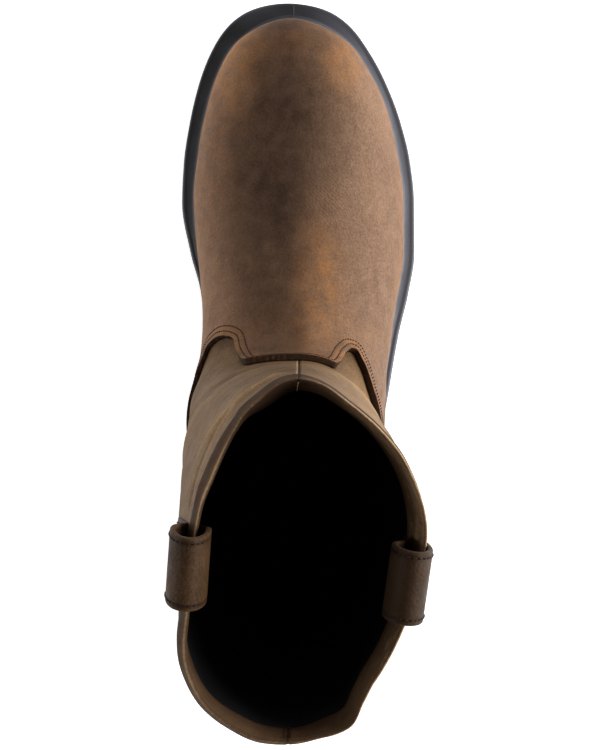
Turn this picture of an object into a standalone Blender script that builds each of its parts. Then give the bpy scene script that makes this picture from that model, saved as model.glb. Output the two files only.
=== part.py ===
"""Pull-on work boot for the right foot, standing empty on its sole.

Sizes are millimetres in the boot's own measure: y runs forward from the heel end of the sole,
x runs to the outer (lateral) side, z runs up from the floor. Meshes are moved to the middle of
the boot's box and written in metres.
"""

from collections import namedtuple

import bpy
import numpy as np

MM = 0.001
CLEARANCE = 0.3

# Driving sizes
SOLE_LENGTH = 311.5
COLLAR_HEIGHT = 285.0
WALL = 2.4
VAMP_LEATHER = 1.9
VAMP_LAYER = VAMP_LEATHER + CLEARANCE
LAST_HEEL = 7.2
LAST_TOE = 301.5
AXIS_X = -3.0

# Sole outline, seen from above
SoleRow = namedtuple("SoleRow", "y medial lateral")
SOLE_OUTLINE = (
    SoleRow(0.0, -3.0, -3.0),
    SoleRow(4.0, -18.0, 12.0),
    SoleRow(14.0, -31.6, 26.6),
    SoleRow(30.0, -40.0, 34.6),
    SoleRow(50.0, -43.0, 37.8),
    SoleRow(75.0, -44.0, 38.8),
    SoleRow(100.0, -45.0, 40.5),
    SoleRow(125.0, -46.0, 44.5),
    SoleRow(150.0, -47.4, 49.0),
    SoleRow(170.0, -49.2, 53.8),
    SoleRow(190.0, -54.4, 56.9),
    SoleRow(215.0, -58.7, 56.8),
    SoleRow(235.0, -57.8, 54.8),
    SoleRow(255.0, -54.7, 49.9),
    SoleRow(275.0, -49.5, 41.9),
    SoleRow(290.0, -43.0, 33.2),
    SoleRow(300.0, -36.0, 25.3),
    SoleRow(307.0, -26.8, 15.6),
    SoleRow(SOLE_LENGTH, -6.0, -6.0),
)

# Heights along the sole: tread is the ground line, plate the foot of the lugs,
# split the joint of outsole and midsole, ledge the top of the rim
LevelRow = namedtuple("LevelRow", "y tread plate split ledge")
SOLE_LEVELS = (
    LevelRow(0.0, 2.5, 15.0, 25.0, 38.5),
    LevelRow(14.0, 0.0, 15.0, 24.8, 38.3),
    LevelRow(45.0, 0.0, 15.0, 24.2, 37.6),
    LevelRow(90.0, 0.0, 14.6, 22.8, 34.0),
    LevelRow(120.0, 0.0, 12.0, 20.0, 30.0),
    LevelRow(150.0, 0.0, 7.0, 16.6, 26.8),
    LevelRow(180.0, 0.0, 5.2, 14.4, 24.8),
    LevelRow(215.0, 0.0, 5.0, 13.8, 24.2),
    LevelRow(240.0, 0.0, 5.1, 14.4, 24.9),
    LevelRow(265.0, 2.2, 7.3, 16.8, 27.4),
    LevelRow(290.0, 7.0, 12.1, 21.4, 32.0),
    LevelRow(SOLE_LENGTH, 12.5, 17.6, 26.4, 36.6),
)

# Cross sections of the last with the vamp on it: widest points and how high they lie over the
# feather line, how far the wall tucks in below them, and the ridge with the roundness over it
LastRow = namedtuple(
    "LastRow", "y medial lateral widest_rise medial_tuck lateral_tuck ridge_x ridge_z roundness")
LAST_SECTIONS = (
    LastRow(LAST_HEEL, -3.0, -3.0, 16.0, 0.0, 0.0, -3.0, 56.0, 2.2),
    LastRow(11.0, -17.6, 12.1, 16.0, 1.2, 1.2, -3.0, 78.0, 2.2),
    LastRow(22.0, -29.3, 23.8, 17.0, 2.2, 2.2, -3.0, 92.0, 2.2),
    LastRow(42.0, -37.0, 31.0, 20.0, 3.4, 3.0, -3.0, 104.0, 2.2),
    LastRow(70.0, -43.0, 34.0, 32.0, 6.8, 3.6, -3.5, 114.0, 2.2),
    LastRow(95.0, -48.6, 36.5, 42.0, 11.8, 3.8, -4.0, 121.0, 2.2),
    LastRow(115.0, -50.7, 39.2, 44.0, 13.4, 3.6, -4.5, 124.0, 2.3),
    LastRow(128.0, -49.4, 40.6, 40.0, 12.2, 3.0, -4.5, 122.5, 2.35),
    LastRow(140.0, -47.2, 42.4, 34.0, 9.6, 2.6, -4.5, 118.0, 2.35),
    LastRow(152.0, -46.6, 44.2, 28.0, 8.2, 2.6, -4.5, 112.5, 2.3),
    LastRow(165.0, -47.1, 46.4, 22.0, 6.6, 2.8, -4.5, 107.0, 2.3),
    LastRow(190.0, -49.8, 50.2, 15.0, 3.2, 3.0, -4.5, 98.0, 2.3),
    LastRow(215.0, -51.5, 50.2, 12.0, 3.0, 3.0, -4.5, 90.5, 2.35),
    LastRow(240.0, -49.0, 46.8, 12.0, 2.8, 2.8, -4.5, 85.0, 2.4),
    LastRow(260.0, -45.0, 41.6, 12.0, 2.6, 2.6, -5.0, 81.0, 2.45),
    LastRow(277.0, -39.0, 33.3, 12.0, 2.2, 2.2, -5.0, 76.0, 2.5),
    LastRow(288.0, -32.6, 25.5, 12.0, 1.8, 1.8, -5.0, 70.0, 2.5),
    LastRow(296.0, -22.5, 14.5, 12.0, 1.0, 1.0, -5.0, 61.5, 2.4),
    LastRow(LAST_TOE, -5.0, -5.0, 12.0, 0.0, 0.0, -5.0, 48.0, 2.3),
)

# Level sections of the shaft: ends on the seams, widest points and how far forward they lie,
# and the roundness of the four quarters (below 2 is pointed, above 2 is full)
ShaftRow = namedtuple(
    "ShaftRow",
    "z front back left right left_y right_y front_left back_left front_right back_right")
SHAFT_SECTIONS = (
    ShaftRow(45.0, 100.0, 16.0, -30.0, 27.0, 62.0, 58.0, 2.2, 2.2, 2.2, 2.2),
    ShaftRow(80.0, 126.0, 8.5, -48.0, 35.5, 96.0, 72.0, 2.6, 2.2, 2.4, 2.2),
    ShaftRow(112.0, 135.5, 8.0, -50.0, 37.5, 98.0, 74.0, 2.8, 2.2, 2.2, 2.2),
    ShaftRow(150.0, 135.5, 6.0, -50.5, 39.5, 90.0, 72.0, 2.5, 2.2, 2.2, 2.2),
    ShaftRow(200.0, 134.0, 1.0, -49.5, 42.5, 70.0, 69.0, 2.2, 2.2, 2.1, 2.1),
    ShaftRow(250.0, 131.5, -5.0, -47.8, 45.6, 46.0, 69.0, 1.8, 2.1, 1.85, 1.95),
    ShaftRow(COLLAR_HEIGHT, 129.5, -8.5, -46.0, 47.4, 30.5, 68.5, 1.55, 2.0, 1.7, 1.82),
)
FRONT_SEAM_X = -1.2
BACK_SEAM_X = -4.5
ANKLE_BLEND = 12.0
THROAT_BLEND = 20.0
HEEL_BLEND = 0.1

# Rings up the upper: share of the way, height at the heel end, and the ring's front point
RingRow = namedtuple("RingRow", "share heel_z front_y front_z")
RINGS = (
    RingRow(0.00, 40.0, 300.0, 42.0),
    RingRow(0.10, 44.0, 300.0, 54.0),
    RingRow(0.20, 49.0, 292.0, 66.0),
    RingRow(0.30, 54.5, 268.0, 78.0),
    RingRow(0.40, 60.5, 233.0, 86.0),
    RingRow(0.50, 67.0, 192.0, 97.0),
    RingRow(0.60, 75.0, 152.0, 114.0),
    RingRow(0.66, 82.0, 138.0, 124.0),
    RingRow(0.72, 98.0, 136.0, 146.0),
    RingRow(0.80, 148.0, 134.5, 188.0),
    RingRow(0.90, 218.0, 131.5, 240.0),
    RingRow(1.00, COLLAR_HEIGHT, 129.5, COLLAR_HEIGHT),
)
FEATHER_DROP = 1.7
RING_BLEND = 0.28
LEVEL_NORMALS = 0.1
AXIS_START_Y = 70.0
AXIS_BACK_REACH = 36.0
AXIS_FRONT_REACH = 46.0

# Columns round the boot: share of half the way from heel to toe, and the ray's angle
ColumnRow = namedtuple("ColumnRow", "share angle")
COLUMN_ANGLES = (
    ColumnRow(0.00, -90.0),
    ColumnRow(0.20, -40.0),
    ColumnRow(0.46, 25.0),
    ColumnRow(0.60, 56.0),
    ColumnRow(0.82, 68.0),
    ColumnRow(1.00, 90.0),
)
COLUMNS_PER_SIDE = 25
VAMP_ROWS = 11
SHAFT_ROWS = 9

# Upper edge of the vamp: ray angle, and the share of the way up on either side
EdgeRow = namedtuple("EdgeRow", "angle medial lateral")
VAMP_EDGE = (
    EdgeRow(-90.0, 0.620, 0.620),
    EdgeRow(-60.0, 0.610, 0.610),
    EdgeRow(-40.0, 0.560, 0.565),
    EdgeRow(-20.0, 0.510, 0.530),
    EdgeRow(0.0, 0.455, 0.540),
    EdgeRow(15.0, 0.455, 0.570),
    EdgeRow(25.0, 0.475, 0.600),
    EdgeRow(36.0, 0.512, 0.630),
    EdgeRow(45.0, 0.537, 0.637),
    EdgeRow(50.0, 0.551, 0.627),
    EdgeRow(55.0, 0.567, 0.612),
    EdgeRow(58.0, 0.580, 0.602),
    EdgeRow(60.0, 0.600, 0.606),
    EdgeRow(61.5, 0.632, 0.612),
    EdgeRow(63.0, 0.662, 0.625),
    EdgeRow(64.5, 0.690, 0.640),
    EdgeRow(66.0, 0.700, 0.675),
    EdgeRow(67.5, 0.702, 0.700),
    EdgeRow(90.0, 0.702, 0.702),
)

# Slight wave of the soft collar, out from the even section, by bearing from the shaft's middle
WaveRow = namedtuple("WaveRow", "angle medial lateral")
COLLAR_WAVE = (
    WaveRow(-90.0, 0.0, 0.0),
    WaveRow(-78.0, -0.2, 0.9),
    WaveRow(-69.0, -0.5, 2.1),
    WaveRow(-61.0, 0.0, -0.6),
    WaveRow(-53.0, 0.4, -2.0),
    WaveRow(-37.0, 0.2, -2.1),
    WaveRow(0.0, 0.5, -0.9),
    WaveRow(28.0, 2.0, 0.8),
    WaveRow(45.0, 3.2, 0.7),
    WaveRow(58.0, 3.2, -0.4),
    WaveRow(71.0, 2.4, -1.4),
    WaveRow(81.0, 0.2, -0.5),
    WaveRow(90.0, 0.0, 0.0),
)
WAVE_START = 170.0
SHAFT_MIDDLE_Y = 55.5

# Sole edge profiles: share of the height, and how far in from the outline
ProfileRow = namedtuple("ProfileRow", "share inset")
OUTSOLE_SIDE = (
    ProfileRow(0.00, 2.6),
    ProfileRow(0.12, 1.4),
    ProfileRow(0.46, 1.0),
    ProfileRow(0.52, 1.7),
    ProfileRow(0.60, 1.7),
    ProfileRow(0.66, 0.8),
    ProfileRow(0.76, 0.0),
    ProfileRow(0.94, 0.0),
    ProfileRow(1.00, 0.7),
    ProfileRow(1.00, 2.4),
)
MIDSOLE_SIDE = (
    ProfileRow(0.00, 2.4),
    ProfileRow(0.22, 2.2),
    ProfileRow(0.34, 1.5),
    ProfileRow(0.52, 1.5),
    ProfileRow(0.62, 2.2),
    ProfileRow(0.88, 2.2),
    ProfileRow(1.00, 3.2),
)
LIP_GAP = 0.4
LIP_WIDTH = 2.4
LIP_HEIGHT = 2.6
LEDGE_RISE = 0.5
FLOOR_DROP = 2.0
INSOLE_GAP = 0.8
INSOLE_THICKNESS = 4.0

# Heel block and lugs
HEEL_BREAST = 86.0
HEEL_TOP = 17.0
HEEL_BASE = 6.0
HEEL_INSET_TOP = 1.9
HEEL_INSET_BASE = 3.6
LUG_ROOT = 3.0
LUG_DRAFT = 0.8
EDGE_LUG_INSET = 4.2
EDGE_LUG_PITCH = 20.0
EDGE_LUG_SHARE = 0.66
FOREFOOT_START = 146.0
CENTRE_LUG_DEPTH = 12.0
CENTRE_LUG_SWEEP = 6.0
CENTRE_LUG_SHIFT = 1.3
LugZone = namedtuple("LugZone", "edge_length first_y pitch count half_width heading")
FOREFOOT_LUGS = LugZone(24.0, 166.0, 23.0, 5, 19.0, 1.0)
HEEL_LUGS = LugZone(16.0, 42.0, 23.0, 2, 10.0, -1.0)

# Pull loops: middle of each bow, how far it runs sideways for each unit forward, and the strap's sizes
LoopRow = namedtuple("LoopRow", "name side middle_x middle_y lean")
PULL_LOOPS = (
    LoopRow("pull_loop_medial", -1.0, -41.5, 61.3, 0.07),
    LoopRow("pull_loop_lateral", 1.0, 39.9, 55.6, 0.145),
)
STRAP_WIDTH = 27.0
STRAP_LEATHER = 2.2
STRAP_GAP = 0.9
LOOP_HALF_WIDTH = 6.7
LOOP_RAKE = 0.2
LOOP_WIDEST = 3.0
LOOP_TOP = 16.0
LOOP_NECK = -14.0
OUTER_LEG = -45.0
INNER_LEG = -32.0

# Colours, roughness
Finish = namedtuple("Finish", "red green blue roughness")
VAMP_FINISH = Finish(0.20, 0.115, 0.062, 0.55)
SHAFT_FINISH = Finish(0.17, 0.115, 0.072, 0.60)
STRAP_FINISH = Finish(0.055, 0.034, 0.022, 0.55)
RUBBER_FINISH = Finish(0.030, 0.031, 0.035, 0.65)
RIM_FINISH = Finish(0.036, 0.037, 0.041, 0.60)
INSOLE_FINISH = Finish(0.045, 0.040, 0.036, 0.80)

# Middle of the boot's box, which becomes the origin
ORIGIN_X = 0.5 * (min(row.medial for row in SOLE_OUTLINE) + max(row.lateral for row in SOLE_OUTLINE))
ORIGIN_Y = 0.5 * (SOLE_LENGTH + SHAFT_SECTIONS[-1].back)


def column(table, name):
    """One named column of a table as an array."""
    return np.array([getattr(row, name) for row in table], float)


def smooth_curve(knots, values, at):
    """Cubic through the knots whose slopes never overshoot between rows."""
    at = np.clip(at, knots[0], knots[-1])
    step = np.diff(knots)
    rise = np.diff(values) / step
    before, after = rise[:-1], rise[1:]
    weight_a = 2.0 * step[1:] + step[:-1]
    weight_b = step[1:] + 2.0 * step[:-1]
    same_way = before * after > 0.0
    safe_a = np.where(same_way, before, 1.0)
    safe_b = np.where(same_way, after, 1.0)
    inner = np.where(same_way, (weight_a + weight_b) / (weight_a / safe_a + weight_b / safe_b), 0.0)
    slope = np.concatenate(([rise[0]], inner, [rise[-1]]))
    i = np.clip(np.searchsorted(knots, at, side="right") - 1, 0, len(step) - 1)
    t = (at - knots[i]) / step[i]
    return (values[i] * (1 + 2 * t) * (1 - t) ** 2 + values[i + 1] * t * t * (3 - 2 * t)
            + step[i] * (slope[i] * t * (1 - t) ** 2 - slope[i + 1] * t * t * (1 - t)))


def along(table, key, name, at):
    """A table's column read at any value of its key."""
    return smooth_curve(column(table, key), column(table, name), at)


def end_turn(y, back, front):
    """Angle that runs evenly round the two blunt ends of a length, 0 at the back, pi at the front."""
    return np.arccos(np.clip(1.0 - 2.0 * (y - back) / (front - back), -1.0, 1.0))


def smooth_step(low, high, value):
    t = np.clip((value - low) / (high - low), 0.0, 1.0)
    return t * t * (3.0 - 2.0 * t)


def sole_side(name, y):
    """Outline of the sole on one side, rounded at both ends."""
    knots = end_turn(column(SOLE_OUTLINE, "y"), 0.0, SOLE_LENGTH)
    return smooth_curve(knots, column(SOLE_OUTLINE, name), end_turn(y, 0.0, SOLE_LENGTH))


def sole_level(name, y):
    return along(SOLE_LEVELS, "y", name, y)


def feather_height(y):
    """Bottom edge of the upper, on the floor inside the sole's lip."""
    return sole_level("ledge", y) - FEATHER_DROP


def last_column(name, turn):
    knots = end_turn(column(LAST_SECTIONS, "y"), LAST_HEEL, LAST_TOE)
    return smooth_curve(knots, column(LAST_SECTIONS, name), turn)


def side_table(table, angle):
    """A table's medial and lateral columns read round the boot by angle, 90 degrees being the front."""
    medial_side = np.cos(angle) < 0.0
    folded = np.degrees(np.arcsin(np.clip(np.sin(angle), -1.0, 1.0)))
    return np.where(medial_side, along(table, "angle", "medial", folded),
                    along(table, "angle", "lateral", folded))


def foot_field(x, y, z):
    """Below zero inside the foot: superellipse sections, tucked in under the widest line."""
    turn = end_turn(y, LAST_HEEL + VAMP_LAYER, LAST_TOE - VAMP_LAYER)
    layer = VAMP_LAYER * np.sqrt(np.sin(turn))
    ridge_x = last_column("ridge_x", turn)
    medial = ridge_x - last_column("medial", turn) - layer
    lateral = last_column("lateral", turn) - ridge_x - layer
    half = np.maximum(np.where(x < ridge_x, medial, lateral), 0.01)
    tuck = np.where(x < ridge_x, last_column("medial_tuck", turn), last_column("lateral_tuck", turn))
    rise = last_column("widest_rise", turn)
    equator = feather_height(y) + rise
    height = np.maximum(last_column("ridge_z", turn) - layer - equator, 0.01)
    power = last_column("roundness", turn)
    below = smooth_step(0.0, 1.0, (equator - z) / rise)
    across = np.abs(x - ridge_x) / np.maximum(half - tuck * below, 0.01)
    up = np.maximum(z - equator, 0.0) / height
    inside = ((across ** power + up ** power) ** (1.0 / power) - 1.0) * np.minimum(half, height)
    past_end = np.maximum(LAST_HEEL + VAMP_LAYER - y, y - LAST_TOE + VAMP_LAYER)
    return np.where(past_end > 0.0, np.maximum(inside, past_end), inside)


def shaft_field(x, y, z):
    """Below zero inside the shaft: each level is four quarter superellipses, waved near the collar."""
    row = {name: along(SHAFT_SECTIONS, "z", name, z) for name in ShaftRow._fields[1:]}
    forward = np.clip((y - row["back"]) / (row["front"] - row["back"]), 0.0, 1.0)
    middle = BACK_SEAM_X + (FRONT_SEAM_X - BACK_SEAM_X) * forward
    on_left = x < middle
    widest_y = np.where(on_left, row["left_y"], row["right_y"])
    half = np.where(on_left, middle - row["left"], row["right"] - middle)
    ahead = y > widest_y
    depth = np.where(ahead, row["front"] - widest_y, widest_y - row["back"])
    left_power = np.where(ahead, row["front_left"], row["back_left"])
    right_power = np.where(ahead, row["front_right"], row["back_right"])
    power = np.where(on_left, left_power, right_power)
    across = np.abs(x - middle) / half
    deep = np.abs(y - widest_y) / depth
    bearing = np.arctan2(y - SHAFT_MIDDLE_Y, x - AXIS_X)
    wave = side_table(COLLAR_WAVE, bearing) * smooth_step(WAVE_START, COLLAR_HEIGHT, z)
    return ((across ** power + deep ** power) ** (1.0 / power) - 1.0) * half - wave


def upper_field(x, y, z):
    """Foot and shaft joined with a fillet: almost none at the heel, tight round the ankle, wide in the throat."""
    foot = foot_field(x, y, z)
    shaft = shaft_field(x, y, z)
    blend = ANKLE_BLEND + (THROAT_BLEND - ANKLE_BLEND) * smooth_step(90.0, 135.0, y)
    blend = blend * (HEEL_BLEND + (1.0 - HEEL_BLEND) * smooth_step(12.0, 50.0, y))
    overlap = np.maximum(blend - np.abs(foot - shaft), 0.0) / blend
    return np.minimum(foot, shaft) - 0.25 * blend * overlap ** 2


def ring_height(share, y):
    """Height of a ring: it leaves the feather line and becomes a plane tilted up to the front."""
    heel_z = along(RINGS, "share", "heel_z", share)
    front_y = along(RINGS, "share", "front_y", share)
    front_z = along(RINGS, "share", "front_z", share)
    plane = heel_z + (front_z - heel_z) * y / front_y
    lifted = feather_height(y) + heel_z - RINGS[0].heel_z
    turn = smooth_step(0.0, RING_BLEND, share)
    return lifted + (plane - lifted) * turn


def ray_length(outside, x, y, go_x, go_y, reach):
    """Distance along plan-view rays to where outside turns true, by halving."""
    near = np.zeros_like(x)
    far = np.full_like(x, reach)
    for _ in range(28):
        middle = 0.5 * (near + far)
        out = outside(x + middle * go_x, y + middle * go_y)
        far = np.where(out, middle, far)
        near = np.where(out, near, middle)
    return 0.5 * (near + far)


def column_angles():
    """Ray angles in radians, from the heel round the lateral side to the toe and back."""
    share = np.linspace(0.0, 1.0, COLUMNS_PER_SIDE + 1)
    lateral = np.radians(along(COLUMN_ANGLES, "share", "angle", share))
    return np.concatenate((lateral, np.pi - lateral[-2:0:-1]))


def axis_ends(share):
    """Back and front end of the line that a ring's rays start from, set in from the ring's own ends."""
    start = np.full_like(share, AXIS_START_Y)
    axis_x = np.full_like(share, AXIS_X)

    def outside(x, y):
        return upper_field(x, y, ring_height(share, y)) > 0.0

    zero, one = np.zeros_like(share), np.ones_like(share)
    front = start + ray_length(outside, axis_x, start, zero, one, 260.0) - AXIS_FRONT_REACH
    back = start - ray_length(outside, axis_x, start, zero, -one, 120.0) + AXIS_BACK_REACH
    return back, front


AXIS_SHARES = np.linspace(0.0, 1.0, 81)
AXIS_BACKS, AXIS_FRONTS = axis_ends(AXIS_SHARES)


def ring_axis(share):
    """Middle and half length of the line that a ring's rays start from."""
    back = np.interp(share, AXIS_SHARES, AXIS_BACKS)
    front = np.interp(share, AXIS_SHARES, AXIS_FRONTS)
    return 0.5 * (front + back), 0.5 * (front - back)


def upper_point(share, angle):
    """Outer surface of the upper: where a ring's ray leaves the upper's field."""
    share, angle = np.broadcast_arrays(np.asarray(share, float), np.asarray(angle, float))
    middle, half = ring_axis(share)
    x = np.full_like(share, AXIS_X)
    y = middle + half * np.sin(angle)

    def outside(ray_x, ray_y):
        return upper_field(ray_x, ray_y, ring_height(share, ray_y)) > 0.0

    length = ray_length(outside, x, y, np.cos(angle), np.sin(angle), 150.0)
    x = x + length * np.cos(angle)
    y = y + length * np.sin(angle)
    return np.stack((x, y, ring_height(share, y)), axis=-1)


def upper_surface(share, angle):
    """Points of the upper and their outward normals, which lie level along the feather line."""
    step = 0.004
    up = upper_point(np.minimum(share + step, 1.0), angle) - upper_point(np.maximum(share - step, 0.0), angle)
    round_ = upper_point(share, angle + step) - upper_point(share, angle - step)
    normal = np.cross(round_, up)
    normal[..., 2] *= smooth_step(0.0, LEVEL_NORMALS, share)
    normal /= np.linalg.norm(normal, axis=-1, keepdims=True)
    return upper_point(share, angle), normal


def finish_material(name, finish):
    """Principled material of one piece."""
    material = bpy.data.materials.new(name)
    material.use_nodes = True
    shader = material.node_tree.nodes["Principled BSDF"]
    shader.inputs["Base Color"].default_value = (finish.red, finish.green, finish.blue, 1.0)
    shader.inputs["Roughness"].default_value = finish.roughness
    shader.inputs["Metallic"].default_value = 0.0
    return material


def add_piece(name, points, faces, finish, sharp_angle=40.0):
    """Mesh object from points in boot millimetres."""
    placed = (np.asarray(points, float) - (ORIGIN_X, ORIGIN_Y, 0.0)) * MM
    mesh = bpy.data.meshes.new(name)
    mesh.from_pydata(placed.tolist(), [], [list(face) for face in faces])
    mesh.validate()
    mesh.shade_smooth()
    mesh.set_sharp_from_angle(angle=np.radians(sharp_angle))
    mesh.materials.append(finish_material(name, finish))
    piece = bpy.data.objects.new(name, mesh)
    bpy.context.scene.collection.objects.link(piece)
    return piece


def grid_quads(rows, columns):
    """Quads of a grid that is closed round its columns."""
    row = np.arange(rows - 1)[:, None] * columns
    col = np.arange(columns)[None, :]
    after = (col + 1) % columns
    above = row + columns
    return np.stack((row + col, row + after, above + after, above + col), axis=-1).reshape(-1, 4)


def shell_faces(guide):
    """Triangles of a closed wall, both skins split along the shorter diagonal of the guide's cells."""
    rows, columns = guide.shape[:2]
    quads = grid_quads(rows, columns)
    corner = guide.reshape(-1, 3)[quads]
    straight = np.linalg.norm(corner[:, 0] - corner[:, 2], axis=1)
    crossed = np.linalg.norm(corner[:, 1] - corner[:, 3], axis=1)
    keep, turn = quads[straight <= crossed], quads[straight > crossed]
    skin = np.concatenate((keep[:, [0, 1, 2]], keep[:, [0, 2, 3]], turn[:, [0, 1, 3]], turn[:, [1, 2, 3]]))
    inner = skin[:, ::-1] + rows * columns
    first = np.arange(columns)
    after = (first + 1) % columns
    top, depth = (rows - 1) * columns, rows * columns
    bottom_rim = np.stack((after, first, first + depth, after + depth), axis=-1)
    top_rim = np.stack((first, after, after + depth, first + depth), axis=-1) + top
    return skin.tolist() + inner.tolist() + bottom_rim.tolist() + top_rim.tolist()


def cap_faces(loop_start, axis_start, columns, facing_up):
    """Triangles from a closed loop in to a line of axis points, split alike above and below."""
    half = columns // 2
    faces = []
    for i in range(columns):
        j = (i + 1) % columns
        axis_i = axis_start + (i if i <= half else columns - i)
        axis_j = axis_start + (j if j <= half else columns - j)
        triangles = [[loop_start + i, loop_start + j, axis_j], [loop_start + i, axis_j, axis_i]]
        for corners in triangles:
            if len(set(corners)) == 3:
                faces.append(corners if facing_up else corners[::-1])
    return faces


def add_shell(name, guide, outer, inner, finish):
    """Hollow wall between an outer and an inner skin that follow one guide grid."""
    points = np.concatenate((outer.reshape(-1, 3), inner.reshape(-1, 3)))
    return add_piece(name, points, shell_faces(guide), finish)


def add_block(name, loops, bottom_axis, top_axis, finish):
    """Solid from stacked loops, bottom to top, closed over a line of axis points at each end."""
    loops = np.asarray(loops)
    rows, columns = loops.shape[:2]
    bottom_start = rows * columns
    top_start = bottom_start + len(bottom_axis)
    faces = grid_quads(rows, columns).tolist()
    faces += cap_faces(0, bottom_start, columns, facing_up=False)
    faces += cap_faces((rows - 1) * columns, top_start, columns, facing_up=True)
    points = np.concatenate((loops.reshape(-1, 3), bottom_axis, top_axis))
    return add_piece(name, points, faces, finish)


def sole_rays(angle):
    """Start points and directions of the rays that lay out the sole."""
    middle, half = ring_axis(np.zeros(1))
    start_y = middle[0] + half[0] * np.sin(angle)
    return np.full_like(angle, AXIS_X), start_y, np.cos(angle), np.sin(angle)


def outline_point(angle, inset):
    """Point of the sole's outline moved in along its own ray."""
    x, y, go_x, go_y = sole_rays(angle)

    def outside(ray_x, ray_y):
        beyond = (ray_y < 0.0) | (ray_y > SOLE_LENGTH)
        return beyond | (ray_x < sole_side("medial", ray_y)) | (ray_x > sole_side("lateral", ray_y))

    length = ray_length(outside, x, y, go_x, go_y, 200.0) - inset
    return x + length * go_x, y + length * go_y


def axis_line(angle, level):
    """Axis points of a cap, from heel to toe, at a height read along the sole."""
    half = len(angle) // 2
    x, y, _, _ = sole_rays(angle[:half + 1])
    return np.stack((x, y, level(y)), axis=-1)


def loop_at(x, y, z):
    return np.stack((x, y, z), axis=-1)


def sunk(name, offset):
    """A sole level, raised by an offset, as a function of y."""
    return lambda y: sole_level(name, y) + offset


def seated(skin):
    """A skin with its lowest row set down on the feather line."""
    skin = skin.copy()
    skin[0, :, 2] = feather_height(skin[0, :, 1])
    return skin


def add_upper_pieces(angle):
    """Hollow upper, and the vamp that lies over its lower part on the same grid."""
    edge = side_table(VAMP_EDGE, angle)
    lower = np.linspace(0.0, 1.0, VAMP_ROWS + 1)[:, None] * edge
    upper = edge + np.linspace(0.0, 1.0, SHAFT_ROWS + 1)[1:, None] * (1.0 - edge)
    share = np.concatenate((lower, upper))
    point, normal = upper_surface(share, np.broadcast_to(angle, share.shape))
    add_shell("upper", point, seated(point), seated(point - WALL * normal), SHAFT_FINISH)
    base, out = point[:VAMP_ROWS + 1], normal[:VAMP_ROWS + 1]
    add_shell("vamp", base, seated(base + VAMP_LAYER * out), seated(base + CLEARANCE * out), VAMP_FINISH)


def plan_offset(angle, share, distance):
    """Loop round the upper at one ring, moved out level from the wall."""
    point, normal = upper_surface(np.broadcast_to(share, angle.shape), angle)
    level = normal[:, :2] / np.linalg.norm(normal[:, :2], axis=1, keepdims=True)
    moved = point[:, :2] + distance * level
    return moved[:, 0], moved[:, 1]


def share_at_rise(angle, rise):
    """Share of the way up at which each column has risen so far above the feather line."""
    low = np.zeros_like(angle)
    high = np.full_like(angle, RING_BLEND)
    for _ in range(20):
        middle = 0.5 * (low + high)
        point = upper_point(middle, angle)
        above = point[:, 2] - feather_height(point[:, 1]) > rise
        high = np.where(above, middle, high)
        low = np.where(above, low, middle)
    return 0.5 * (low + high)


def add_midsole(angle):
    """Moulded frame: stepped side, ledge, and the lip that holds the foot of the upper."""
    loops = []
    for row in MIDSOLE_SIDE:
        x, y = outline_point(angle, row.inset)
        low = sole_level("split", y) + CLEARANCE
        loops.append(loop_at(x, y, low + row.share * (sole_level("ledge", y) - low)))
    reach = VAMP_LAYER + LIP_GAP
    lip_share = share_at_rise(angle, FEATHER_DROP + LIP_HEIGHT)
    lip_rows = ((LIP_WIDTH, LEDGE_RISE), (0.8 * LIP_WIDTH, LIP_HEIGHT), (0.0, LIP_HEIGHT))
    for width, rise in lip_rows:
        x, y = plan_offset(angle, lip_share, reach + width)
        loops.append(loop_at(x, y, sole_level("ledge", y) + rise))
    for distance in (reach, -(WALL + INSOLE_GAP)):
        x, y = plan_offset(angle, 0.0, distance)
        loops.append(loop_at(x, y, sole_level("ledge", y) - FLOOR_DROP))
    bottom = axis_line(angle, sunk("split", CLEARANCE))
    add_block("midsole", loops, bottom, axis_line(angle, sunk("ledge", -FLOOR_DROP)), RIM_FINISH)


def add_insole(angle):
    """Footbed that lies on the midsole's floor inside the upper."""
    x, y = plan_offset(angle, 0.0, -(WALL + INSOLE_GAP))
    base = CLEARANCE - FLOOR_DROP
    top = base + INSOLE_THICKNESS
    low = loop_at(x, y, sole_level("ledge", y) + base)
    high = loop_at(x, y, sole_level("ledge", y) + top)
    add_block("insole", (low, high), axis_line(angle, sunk("ledge", base)),
              axis_line(angle, sunk("ledge", top)), INSOLE_FINISH)


def add_prism(name, x, y, low, high, draft):
    """Upright prism over a plan polygon; its lower face is drawn in towards its middle."""
    x, y = np.asarray(x, float), np.asarray(y, float)
    reach = np.hypot(x - x.mean(), y - y.mean())
    shrink = 1.0 - draft / reach
    low_x = x.mean() + (x - x.mean()) * shrink
    low_y = y.mean() + (y - y.mean()) * shrink
    count = len(x)
    points = np.concatenate((loop_at(low_x, low_y, low(low_y)), loop_at(x, y, high(y))))
    faces = grid_quads(2, count).tolist()
    faces += [list(range(count))[::-1], list(range(count, 2 * count))]
    return add_piece(name, points, faces, RUBBER_FINISH)


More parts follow.
